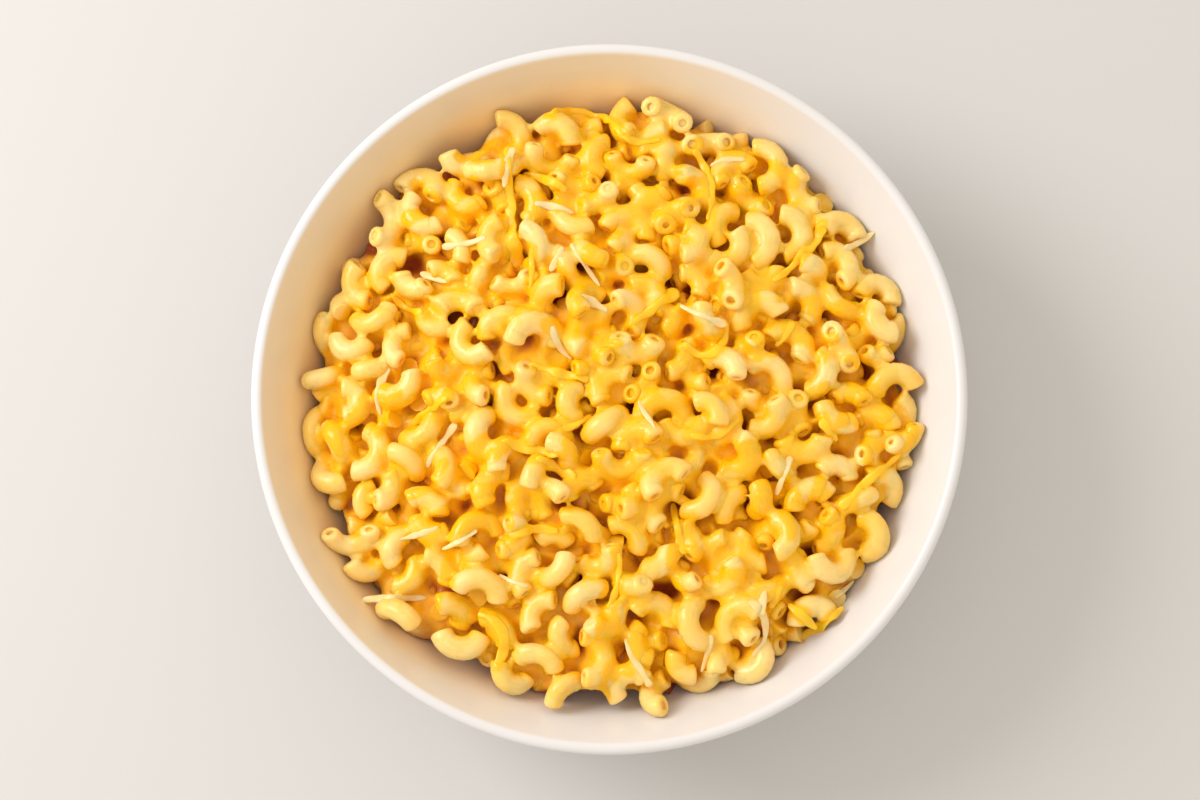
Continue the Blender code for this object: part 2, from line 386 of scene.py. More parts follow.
@dataclass(frozen=True)
class GlazeFinish:
    """Off-white glaze over stoneware, bare and matt on the foot's resting face.

    The mesh stores how much of each place of the inside lies on the side away from the key light. There the
    glaze is painted warmer and darker, painted shade with warm bounce light, and just above the food brighter
    orange, painted bounce light. Each pair of roughnesses is for glaze and for bare clay.
    """

    name: str = "white_glaze"
    glaze: Colour = (0.708, 0.70, 0.696, 1.0)
    glaze_shade: Colour = (0.69, 0.678, 0.666, 1.0)
    # painted warm shade on the side away from the key light, and painted bounce light just above the food
    painted_warm_shade: Colour = (0.745, 0.59, 0.36, 1.0)
    painted_bounce_light: Colour = (0.93, 0.67, 0.30, 1.0)
    bounce_light_from_to: tuple[float, float] = (55.0 * MM, 47.0 * MM)
    most_bounce_light: float = 0.5
    bare: Colour = (0.70, 0.64, 0.55, 1.0)
    bare_below: float = 0.9 * MM
    roughness: tuple[float, float] = (0.22, 0.75)
    ripple: float = 0.3 * MM

    def made(self, effects: Effects) -> bpy.types.Material:
        """Builds the material.

        Args:
            effects: the shared node groups.

        Returns:
            The material.
        """
        material, tree, shader = fresh_material(self.name)
        place = tree.place()
        cloud = effects.patches.placed(tree, place, Scale=14.0, Level=0.5, Edge=0.2).outputs["Mask"]
        height = tree.node("ShaderNodeSeparateXYZ", {"Vector": place}).outputs["Z"]
        bare = tree.ramp(height, self.bare_below, self.bare_below * 0.5)
        colour = tree.mix(cloud, self.glaze, self.glaze_shade)
        # painted shade and painted bounce light on the side away from the key light
        colour = tree.mix(tree.stored("painted_shade_side"), colour, self.painted_warm_shade)
        bounce_light_share = tree.ramp(height, *self.bounce_light_from_to, 0.0, self.most_bounce_light)
        colour = tree.mix(tree.math("MULTIPLY", tree.stored("painted_shade_side"), bounce_light_share), colour, self.painted_bounce_light)
        tree.feed(shader.inputs["Base Color"], tree.mix(bare, colour, self.bare))
        tree.feed(shader.inputs["Roughness"], tree.ramp(bare, 0.0, 1.0, *self.roughness))
        ripple = effects.relief.placed(tree, place, Lumps=45.0, Grain=600.0).outputs["Height"]
        tree.feed(shader.inputs["Normal"], tree.bump(ripple, strength=0.15, distance=self.ripple))
        return material


@dataclass(frozen=True)
class TableFinish:
    """The plain pale floor."""

    name: str = "pale_floor"
    colour: Colour = (0.58, 0.575, 0.565, 1.0)
    roughness: tuple[float, float] = (0.55, 0.65)

    def made(self, effects: Effects) -> bpy.types.Material:
        """Builds the material.

        Args:
            effects: the shared node groups.

        Returns:
            The material.
        """
        material, tree, shader = fresh_material(self.name)
        cloud = effects.patches.placed(tree, tree.place(), Scale=3.0, Level=0.5, Edge=0.3).outputs["Mask"]
        tree.feed(shader.inputs["Roughness"], tree.ramp(cloud, 0.0, 1.0, *self.roughness))
        shader.inputs["Base Color"].default_value = self.colour
        return material


# ---------------------------------------------------------------- meshes


def linked(name: str, data: bpy.types.ID) -> bpy.types.Object:
    """Puts a new object in the scene.

    Args:
        name: its name.
        data: its mesh, light or camera.

    Returns:
        The object.
    """
    placed = bpy.data.objects.new(name, data)
    bpy.context.scene.collection.objects.link(placed)
    return placed


def shown(name: str, mesh: bpy.types.Mesh, material: bpy.types.Material) -> bpy.types.Object:
    """Puts a mesh in the scene with its material.

    Args:
        name: the new object's name.
        mesh: its mesh, with its place in its vertices.
        material: its one material.

    Returns:
        The object.
    """
    mesh.name = name
    mesh.materials.clear()
    mesh.materials.append(material)
    return linked(name, mesh)


def mesh_of(bm: bmesh.types.BMesh) -> bpy.types.Mesh:
    """Turns a bmesh into a mesh.

    Args:
        bm: the bmesh, which is freed.

    Returns:
        The mesh.
    """
    mesh = bpy.data.meshes.new("mesh")
    bm.to_mesh(mesh)
    bm.free()
    return mesh


def points_of(mesh: bpy.types.Mesh) -> np.ndarray:
    """Reads a mesh's vertices.

    Args:
        mesh: the mesh.

    Returns:
        Rows of x, y and z.
    """
    flat = np.empty(len(mesh.vertices) * 3, np.float32)
    mesh.vertices.foreach_get("co", flat)
    return flat.reshape(-1, 3).astype(np.float64)


def store(mesh: bpy.types.Mesh, name: str, values: np.ndarray) -> None:
    """Stores one number for each vertex.

    Args:
        mesh: the mesh.
        name: the attribute's name.
        values: one number for each vertex.
    """
    mesh.attributes.new(name, "FLOAT", "POINT").data.foreach_set("value", values.astype(np.float32))


def joined(parts: Iterable[bmesh.types.BMesh]) -> bpy.types.Mesh:
    """Joins many small bmeshes into one mesh.

    Args:
        parts: the bmeshes, which are freed.

    Returns:
        The mesh.
    """
    whole = bmesh.new()
    for part in parts:
        mesh = mesh_of(part)
        whole.from_mesh(mesh)
        bpy.data.meshes.remove(mesh)
    return mesh_of(whole)


def modified(mesh: bpy.types.Mesh, kind: str, **settings: object) -> bpy.types.Mesh:
    """Applies one modifier to a mesh.

    Args:
        mesh: the mesh, which is removed.
        kind: the modifier's type, such as REMESH.
        settings: the modifier's own properties.

    Returns:
        The new mesh.
    """
    whole = linked("modified", mesh)
    modifier = whole.modifiers.new(kind.lower(), kind)
    for name, value in settings.items():
        setattr(modifier, name, value)
    graph = bpy.context.evaluated_depsgraph_get()
    result = bpy.data.meshes.new_from_object(whole.evaluated_get(graph))
    bpy.data.objects.remove(whole)
    bpy.data.meshes.remove(mesh)
    return result


def thinned(mesh: bpy.types.Mesh, most: int) -> bpy.types.Mesh:
    """Thins a mesh where it is flattest.

    Args:
        mesh: the mesh, which is removed.
        most: the most triangles to keep.

    Returns:
        The thinned mesh.
    """
    mesh.calc_loop_triangles()
    LOG.info("thinning %d triangles to %d", len(mesh.loop_triangles), most)
    return modified(mesh, "DECIMATE", ratio=min(1.0, most / len(mesh.loop_triangles)))


def tree_of(points: Sequence[Sequence[float]]) -> KDTree:
    """A balanced tree of points, for finding the nearest.

    Args:
        points: the points.

    Returns:
        The tree, with each point under its own index.
    """
    tree = KDTree(len(points))
    for index, point in enumerate(points):
        tree.insert(point, index)
    tree.balance()
    return tree


def smooth_shaded(mesh: bpy.types.Mesh, sharp: float = 180.0) -> None:
    """Shades a mesh smooth.

    Args:
        mesh: the mesh.
        sharp: edges sharper than this angle, in degrees, stay sharp.
    """
    mesh.shade_smooth()
    if sharp < 180.0:
        mesh.set_sharp_from_angle(angle=math.radians(sharp))


def turned(profile: Sequence[tuple[float, float]], steps: int, centre: Vector) -> bmesh.types.BMesh:
    """A closed solid turned about an upright axis.

    Args:
        profile: (radius, height) points that start and end on the axis.
        steps: how many sides the turned shape has.
        centre: where the axis meets the floor.

    Returns:
        The solid's bmesh.
    """
    bm = bmesh.new()
    ring = [bm.verts.new((centre.x + radius, centre.y, height)) for radius, height in profile]
    edges = [bm.edges.new(pair) for pair in zip(ring, ring[1:])]
    full = 2.0 * math.pi
    bmesh.ops.spin(
        bm, geom=ring + edges, cent=centre, axis=(0.0, 0.0, 1.0), angle=full, steps=steps, use_merge=True
    )
    bmesh.ops.remove_doubles(bm, verts=bm.verts, dist=0.01 * MM)
    bmesh.ops.recalc_face_normals(bm, faces=bm.faces)
    return bm


# ---------------------------------------------------------------- the bowl


@dataclass(frozen=True)
class Bowl:
    """The turned bowl: a flat floor, an arc, a straight flared wall, a rolled lip and a foot ring.

    Warm painted shade, with its bounce light, lies on the inside's skin on the side away from the key light.
    It is whole where a place faces that side's azimuth by the higher of the two side shares, gone at the
    lower, and thinner towards the lip.
    """

    radius: float
    height: float
    wall: float = 4.2 * MM
    wall_angle: float = math.radians(60.0)
    shoulder_radius: float = 66.0 * MM
    floor_top: float = 9.0 * MM
    foot_radius: float = 56.0 * MM
    foot_width: float = 5.0 * MM
    foot_round: float = 1.0 * MM
    shade_side_azimuth: float = math.radians(155.0)
    shade_side_spread: tuple[float, float] = (-0.25, 0.38)
    shade_side_fade: float = 16.0 * MM
    shade_side_at_lip: float = 0.8
    shade_side_skin: float = 0.3 * MM
    sides: int = 192
    shoulder_steps: int = 18
    round_steps: int = 10

    @classmethod
    def from_frame(cls, node: str) -> "Bowl":
        """The bowl at the size of its CAD node."""
        low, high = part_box(node)
        return cls(radius=high[0], height=high[2] - low[2])

    @property
    def lip_radius(self) -> float:
        """Radius of the lip's round edge."""
        return self.wall / 2.0

    @property
    def lip_centre(self) -> tuple[float, float]:
        """Radius and height of the middle of the lip's round edge."""
        return self.radius - self.lip_radius, self.height - self.lip_radius

    @property
    def shoulder_end(self) -> float:
        """Distance from the axis at which the arc becomes the straight wall."""
        top = self.lip_centre[1] + self.lip_radius * math.cos(self.wall_angle)
        top_radius = self.lip_centre[0] - self.lip_radius * math.sin(self.wall_angle)
        arc_top = self.floor_top + self.shoulder_radius * (1.0 - math.cos(self.wall_angle))
        return top_radius - (top - arc_top) / math.tan(self.wall_angle)

    @property
    def floor_radius(self) -> float:
        """Distance from the axis at which the floor becomes the arc."""
        return self.shoulder_end - self.shoulder_radius * math.sin(self.wall_angle)

    def lean(self, radius: np.ndarray) -> np.ndarray:
        """Sine of the inside's angle at a distance from the axis."""
        return np.clip((radius - self.floor_radius) / self.shoulder_radius, 0.0, math.sin(self.wall_angle))

    def inside_height(self, radius: np.ndarray) -> np.ndarray:
        """Height of the inside at a distance from the axis."""
        on_arc = self.floor_top + self.shoulder_radius * (1.0 - np.sqrt(1.0 - self.lean(radius) ** 2))
        return on_arc + np.maximum(radius - self.shoulder_end, 0.0) * math.tan(self.wall_angle)

    def shoulder(self, offset: float, first: float = 0.0) -> list[tuple[float, float]]:
        """Points up the arc.

        Args:
            offset: how far they lie inside the wall's thickness.
            first: the angle at which they start.

        Returns:
            (radius, height) points from low to high.
        """
        reach = self.shoulder_radius + offset
        points = []
        for step in range(self.shoulder_steps + 1):
            angle = first + (self.wall_angle - first) * step / self.shoulder_steps
            height = self.floor_top + self.shoulder_radius - reach * math.cos(angle)
            points.append((self.floor_radius + reach * math.sin(angle), height))
        return points

    def rounded(
        self, middle: tuple[float, float], size: float, first: float, last: float
    ) -> list[tuple[float, float]]:
        """Points along a round edge.

        Args:
            middle: radius and height of the edge's middle.
            size: its radius.
            first: the angle at which it starts.
            last: the angle at which it ends.

        Returns:
            (radius, height) points.
        """
        points = []
        for step in range(self.round_steps + 1):
            angle = first + (last - first) * step / self.round_steps
            points.append((middle[0] + size * math.cos(angle), middle[1] + size * math.sin(angle)))
        return points

    def profile(self) -> list[tuple[float, float]]:
        """The section from the middle of the floor, over the lip, to the middle of the underside.

        Returns:
            (radius, height) points.
        """
        quarter = math.radians(90.0)
        from_inside, to_outside = self.wall_angle + quarter, self.wall_angle - quarter
        lip = self.rounded(self.lip_centre, self.lip_radius, from_inside, to_outside)
        at_foot = math.asin((self.foot_radius - self.floor_radius) / (self.shoulder_radius + self.wall))
        outside = self.shoulder(self.wall, at_foot)[::-1]
        inner = self.foot_radius - self.foot_width
        size = self.foot_round
        outer_edge = self.rounded((self.foot_radius - size, size), size, 0.0, -quarter)
        inner_edge = self.rounded((inner + size, size), size, -quarter, -2.0 * quarter)
        underside = self.floor_top - self.wall
        foot = outer_edge + inner_edge + [(inner - size, underside), (0.0, underside)]
        return [(0.0, self.floor_top)] + self.shoulder(0.0) + lip + outside + foot

    def built(self, material: bpy.types.Material) -> bpy.types.Object:
        """Builds the bowl's fine surface.

        Args:
            material: its glaze.

        Returns:
            The bowl.
        """
        mesh = mesh_of(turned(self.profile(), self.sides, Vector()))
        # painted shade: the share of the inside on the side away from the key light
        store(mesh, "painted_shade_side", self.painted_shade_side(points_of(mesh)))
        smooth_shaded(mesh, sharp=40.0)
        return shown("glazed_bowl", mesh, material)

    def painted_shade_side(self, places: np.ndarray) -> np.ndarray:
        """How much painted warm shade lies on the bowl, on the side away from the key light.

        Args:
            places: points of the bowl.

        Returns:
            One share for each, from 0 to 1.
        """
        radius = np.hypot(places[:, 0], places[:, 1])
        inside = np.abs(places[:, 2] - self.inside_height(radius)) < self.shade_side_skin
        ahead = math.cos(self.shade_side_azimuth), math.sin(self.shade_side_azimuth)
        side = (places[:, 0] * ahead[0] + places[:, 1] * ahead[1]) / np.maximum(radius, 1.0 * MM)
        spread = (side - self.shade_side_spread[0]) / (self.shade_side_spread[1] - self.shade_side_spread[0])
        below = (self.height - self.lip_radius - places[:, 2]) / self.shade_side_fade
        return inside * np.clip(spread, 0.0, 1.0) * np.clip(self.shade_side_at_lip + below, 0.0, 1.0)


# ---------------------------------------------------------------- where the elbows lie


def matrices(quaternions: np.ndarray) -> np.ndarray:
    """Rotation matrices.

    Args:
        quaternions: rows of unit quaternions.

    Returns:
        One 3 x 3 matrix for each.
    """
    w, x, y, z = quaternions.T
    rows = [
        np.stack([1 - 2 * (y * y + z * z), 2 * (x * y - z * w), 2 * (x * z + y * w)], -1),
        np.stack([2 * (x * y + z * w), 1 - 2 * (x * x + z * z), 2 * (y * z - x * w)], -1),
        np.stack([2 * (x * z - y * w), 2 * (y * z + x * w), 1 - 2 * (x * x + y * y)], -1),
    ]
    return np.stack(rows, -2)


def turned_by(turns: np.ndarray, points: np.ndarray) -> np.ndarray:
    """Each elbow's own points, turned into the bowl's directions."""
    return sum(turns[:, None, :, k] * points[:, :, None, k] for k in range(3))


def unit(vectors: np.ndarray) -> np.ndarray:
    """Vectors at unit length."""
    return vectors / np.sqrt((vectors**2).sum(-1, keepdims=True))


@dataclass(frozen=True)
class Elbow:
    """One cooked elbow: a thick tube bent in the XY plane of its own axes.

    Its beads are balls as thick as the tube, which stop a little short of the cut ends.
    """

    index: int
    tube: float
    bend: float
    arc: float
    place: Matrix
    tint: float
    end_inset: float

    def around(self, angle: float, out: float = 0.0) -> Vector:
        """A point of the bend plane, at an angle along the bend and a distance outside its centre line."""
        return Vector(((self.bend + out) * math.sin(angle), (self.bend + out) * math.cos(angle), 0.0))

    def beads(self, count: int) -> list[Vector]:
        """Points along the centre line, in the row's frame."""
        half = self.arc / 2.0 - self.end_inset * self.tube / self.bend
        return [self.place @ self.around(half * (2.0 * k / (count - 1) - 1.0)) for k in range(count)]


@dataclass(frozen=True)
class Heap:
    """The rule that lays the elbows, as the heap's solid was drawn: in layers, lowered and spread to rest."""

    bowl: Bowl
    count: int = 600
    seed: int = 5
    tube_radii: tuple[float, float] = (3.2 * MM, 3.8 * MM)
    bend_radii: tuple[float, float] = (4.8 * MM, 6.9 * MM)
    bend_arcs: tuple[float, float] = (math.radians(120.0), math.radians(204.0))
    bead_count: int = 5
    end_inset: float = 0.45
    lean: float = 0.28
    shift: tuple[float, float] = (1.0 * MM, -1.6 * MM)
    radius: float = 101.0 * MM
    bed_peak: float = 41.0 * MM
    bed_edge: float = 28.0 * MM
    layers: int = 3
    layer_rise: float = 10.0 * MM
    first_rise: float = 5.0 * MM
    edge_margin: float = 8.0 * MM
    golden_angle: float = math.radians(137.508)
    layer_turn: float = 1.1
    lower_steps: int = 90
    lower_first: float = 0.50 * MM
    lower_last: float = 0.05 * MM
    spreads_per_step: int = 4
    spreads_at_end: int = 40
    near: float = 22.0 * MM
    steps_per_list: int = 5
    shift_gain: float = 1.4
    turn_gain: float = 0.9
    most_turn: float = 0.25
    grain_decimals: int = 7

    def bed_height(self, x: np.ndarray, y: np.ndarray) -> np.ndarray:
        """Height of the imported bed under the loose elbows, a low dome."""
        out = np.hypot(x - self.shift[0], y - self.shift[1]) / self.radius
        return self.bed_edge + (self.bed_peak - self.bed_edge) * (1.0 - out**2)

    def push_apart(
        self, beads: np.ndarray, tube: np.ndarray, near: tuple[np.ndarray, ...]
    ) -> tuple[np.ndarray, np.ndarray]:
        """How far each bead has to move to leave its neighbours.

        Args:
            beads: each elbow's beads.
            tube: each elbow's tube radius.
            near: the pairs of elbows that may touch.

        Returns:
            Each bead's push, and how many others it touches.
        """
        one, other = near
        between = beads[one][:, :, None] - beads[other][:, None]
        apart = np.sqrt((between**2).sum(-1)) + 1e-12
        shared = np.maximum((tube[one] + tube[other])[:, None, None] - apart, 0.0)
        move = between / apart[..., None] * (shared * 0.5)[..., None]
        push = np.zeros_like(beads)
        touching = np.zeros(beads.shape[:2])
        np.add.at(push, one, move.sum(2))
        np.add.at(push, other, -move.sum(1))
        np.add.at(touching, one, (shared > 0.0).sum(2))
        np.add.at(touching, other, (shared > 0.0).sum(1))
        return push, touching

    def push_inside(self, beads: np.ndarray, tube: np.ndarray) -> tuple[np.ndarray, np.ndarray]:
        """How far each bead has to move to clear the bowl and the bed.

        Args:
            beads: each elbow's beads.
            tube: each elbow's tube radius.

        Returns:
            Each bead's push, and how many of the two it touches.
        """
        x, y, z = (beads[..., k] for k in range(3))
        radius = np.hypot(x, y) + 1e-9
        sine = self.bowl.lean(radius)
        cosine = np.sqrt(1.0 - sine**2)
        sunk = np.maximum((self.bowl.inside_height(radius) - z) * cosine + tube[:, None], 0.0)
        push = sunk[..., None] * np.stack([-sine * x / radius, -sine * y / radius, cosine], -1)
        in_bed = np.maximum(self.bed_height(x, y) + tube[:, None] - z, 0.0)
        push[..., 2] += in_bed
        return push, (sunk > 0.0).astype(float) + (in_bed > 0.0)

    def spread(
        self,
        places: np.ndarray,
        turns: np.ndarray,
        line: np.ndarray,
        tube: np.ndarray,
        near: tuple[np.ndarray, ...],
    ) -> tuple[np.ndarray, np.ndarray]:
        """Moves and turns each elbow once, out of whatever shares its space.

        Args:
            places: the elbows' middles.
            turns: their rotation matrices.
            line: their beads about their middles, unturned.
            tube: their tube radii.
            near: the pairs of elbows that may touch.

        Returns:
            The new places and turns.
        """
        arms = turned_by(turns, line)
        beads = places[:, None] + arms
        push, touching = self.push_apart(beads, tube, near)
        more_push, more_touching = self.push_inside(beads, tube)
        push += more_push
        touches = np.maximum((touching + more_touching).sum(1), 1.0)[:, None]
        places = places + push.sum(1) / touches * self.shift_gain
        twist = np.cross(arms, push).sum(1) / (line**2).sum((1, 2))[:, None]
        twist = twist * self.turn_gain / np.maximum(touches / self.bead_count, 1.0)
        size = np.sqrt((twist**2).sum(1, keepdims=True))
        twist = twist * np.minimum(1.0, self.most_turn / np.maximum(size, 1e-9))
        step = matrices(unit(np.concatenate([np.ones_like(size), twist / 2.0], 1)))
        turns = sum(step[:, :, k, None] * turns[:, None, k, :] for k in range(3))
        return np.round(places, self.grain_decimals), np.round(turns, self.grain_decimals)

    def laid(self) -> list[Elbow]:
        """Lays the elbows.

        Returns:
            The elbows, where the heap's solid was drawn from.
        """
        draw = np.random.RandomState(self.seed)
        tube = draw.uniform(*self.tube_radii, self.count)
        bend = draw.uniform(*self.bend_radii, self.count)
        arc = draw.uniform(*self.bend_arcs, self.count)
        half = arc / 2.0 - self.end_inset * tube / bend
        angles = half[:, None] * np.linspace(-1.0, 1.0, self.bead_count)[None]
        line = bend[:, None, None] * np.stack([np.sin(angles), np.cos(angles), 0.0 * angles], -1)
        middle = line.mean(1, keepdims=True)
        line = line - middle
        per_layer = self.count // self.layers
        layer, index = np.divmod(np.arange(self.count), per_layer)
        out = (self.radius - self.edge_margin) * np.sqrt((index + 0.5) / per_layer)
        angle = index * self.golden_angle + layer * self.layer_turn
        x = self.shift[0] + out * np.cos(angle)
        y = self.shift[1] + out * np.sin(angle)
        rise = self.first_rise + layer * self.layer_rise
        places = np.stack([x, y, self.bed_height(x, y) + rise], -1)
        turns = matrices(unit(draw.normal(size=(self.count, 4)) * np.array([1.0, self.lean, self.lean, 1.0])))
        near: tuple[np.ndarray, ...] = ()
        for step in range(self.lower_steps):
            share = 1.0 - step / self.lower_steps
            places[:, 2] -= self.lower_last + (self.lower_first - self.lower_last) * share
            if step % self.steps_per_list == 0:
                gaps = places[:, None] - places[None]
                near = np.nonzero(np.triu((gaps**2).sum(-1) < self.near**2, 1))
            for _ in range(self.spreads_per_step):
                places, turns = self.spread(places, turns, line, tube, near)
        for _ in range(self.spreads_at_end):
            places, turns = self.spread(places, turns, line, tube, near)
        tints = draw.uniform(0.0, 1.0, self.count)
        elbows = []
        for k in range(self.count):
            turn = Matrix(turns[k].tolist()).to_4x4()
            place = Matrix.Translation(Vector(places[k])) @ turn @ Matrix.Translation(-Vector(middle[k, 0]))
            elbows.append(Elbow(k, tube[k], bend[k], arc[k], place, tints[k], self.end_inset))
        return elbows


# ---------------------------------------------------------------- the macaroni


class Depth(Enum):
    """How deep an elbow lies, with the sides and steps of its tube. Buried ones aren't made."""

    ON_TOP = (12, 9)
    HALF_SEEN = (10, 6)
    BURIED = (0, 0)


def blurred(grid: np.ndarray, times: int) -> np.ndarray:
    """Softens a grid of heights.

    Args:
        grid: the heights.
        times: how often each is averaged with its neighbours.

    Returns:
        The softened grid.
    """
    for _ in range(times):
        for side in (0, 1):
            grid = (2.0 * grid + np.roll(grid, 1, side) + np.roll(grid, -1, side)) / 4.0
    return grid


@dataclass(frozen=True)
class Skyline:
    """Heights of the heap's top, kept on a square grid, their mean round each point, and their envelope."""

    heights: np.ndarray
    mean: np.ndarray
    envelope: np.ndarray
    spacing: float
    half: float
    beads: int = 9
    open_cover: float = 1.2
    least_open: int = 2
    half_seen_above: float = 11.0 * MM

    @classmethod
    def over(
        cls,
        elbows: Sequence[Elbow],
        heap: Heap,
        spacing: float = 1.2 * MM,
        half: float = 108.0 * MM,
        domes: int = 11,
        widenings: int = 4,
        blurs: tuple[int, int] = (20, 12),
    ) -> "Skyline":
        """Measures the top of the elbows and the bed.

        Args:
            elbows: the laid elbows.
            heap: their rule, for the bed.
            spacing: the grid's spacing.
            half: how far the grid reaches each way.
            domes: how many round tops stand for each elbow.
            widenings: how many cells the envelope widens each top by.
            blurs: how often the mean and the envelope are softened.

        Returns:
            The skyline.
        """
        axis = np.arange(-half, half + spacing, spacing)
        heights = heap.bed_height(axis[:, None], axis[None, :])
        for elbow in elbows:
            for bead in elbow.beads(domes):
                first = [int((c - elbow.tube + half) / spacing) + 1 for c in bead.xy]
                last = [int((c + elbow.tube + half) / spacing) + 1 for c in bead.xy]
                x = axis[first[0] : last[0], None] - bead.x
                y = axis[None, first[1] : last[1]] - bead.y
                above = elbow.tube**2 - x**2 - y**2
                dome = np.where(above > 0.0, bead.z + np.sqrt(np.maximum(above, 0.0)), 0.0)
                window = heights[first[0] : last[0], first[1] : last[1]]
                np.maximum(window, dome, out=window)
        envelope = heights
        for _ in range(widenings):
            for side in (0, 1):
                beside = np.maximum(np.roll(envelope, 1, side), np.roll(envelope, -1, side))
                envelope = np.maximum(envelope, beside)
        return cls(heights, blurred(heights, blurs[0]), blurred(envelope, blurs[1]), spacing, half)

    def cells(self, places: np.ndarray) -> tuple[np.ndarray, np.ndarray]:
        """The cells of the grid that points lie in.

        Args:
            places: the points.

        Returns:
            Their columns and rows.
        """
        last = len(self.heights) - 1
        found = np.clip(np.rint((places[:, :2] + self.half) / self.spacing).astype(int), 0, last)
        return found[:, 0], found[:, 1]

    def cover(self, places: np.ndarray) -> np.ndarray:
        """How far below the heap's top points lie."""
        return self.heights[self.cells(places)] - places[:, 2]

    def depth(self, places: np.ndarray) -> np.ndarray:
        """How far below the heap's envelope points lie."""
        return self.envelope[self.cells(places)] - places[:, 2]

    def crest(self, places: np.ndarray) -> np.ndarray:
        """How far points stand above the mean of what is round them."""
        return places[:, 2] - self.mean[self.cells(places)]

    def store_on(self, mesh: bpy.types.Mesh) -> None:
        """Stores how high and how deep each point lies in the heap.

        Args:
            mesh: the mesh to store it on.
        """
        places = points_of(mesh)
        store(mesh, "crest", self.crest(places))
        store(mesh, "depth", self.depth(places))

    def depth_of(self, elbow: Elbow) -> Depth:
        """How deep an elbow lies, by how much of it the sky sees.

        Args:
            elbow: the elbow.

        Returns:
            Its depth.
        """
        beads = np.array(elbow.beads(self.beads))
        open_beads = int((self.cover(beads) < elbow.tube * self.open_cover).sum())
        if open_beads >= self.least_open:
            return Depth.ON_TOP
        half_seen = open_beads or self.depth(beads).min() < self.half_seen_above
        return Depth.HALF_SEEN if half_seen else Depth.BURIED


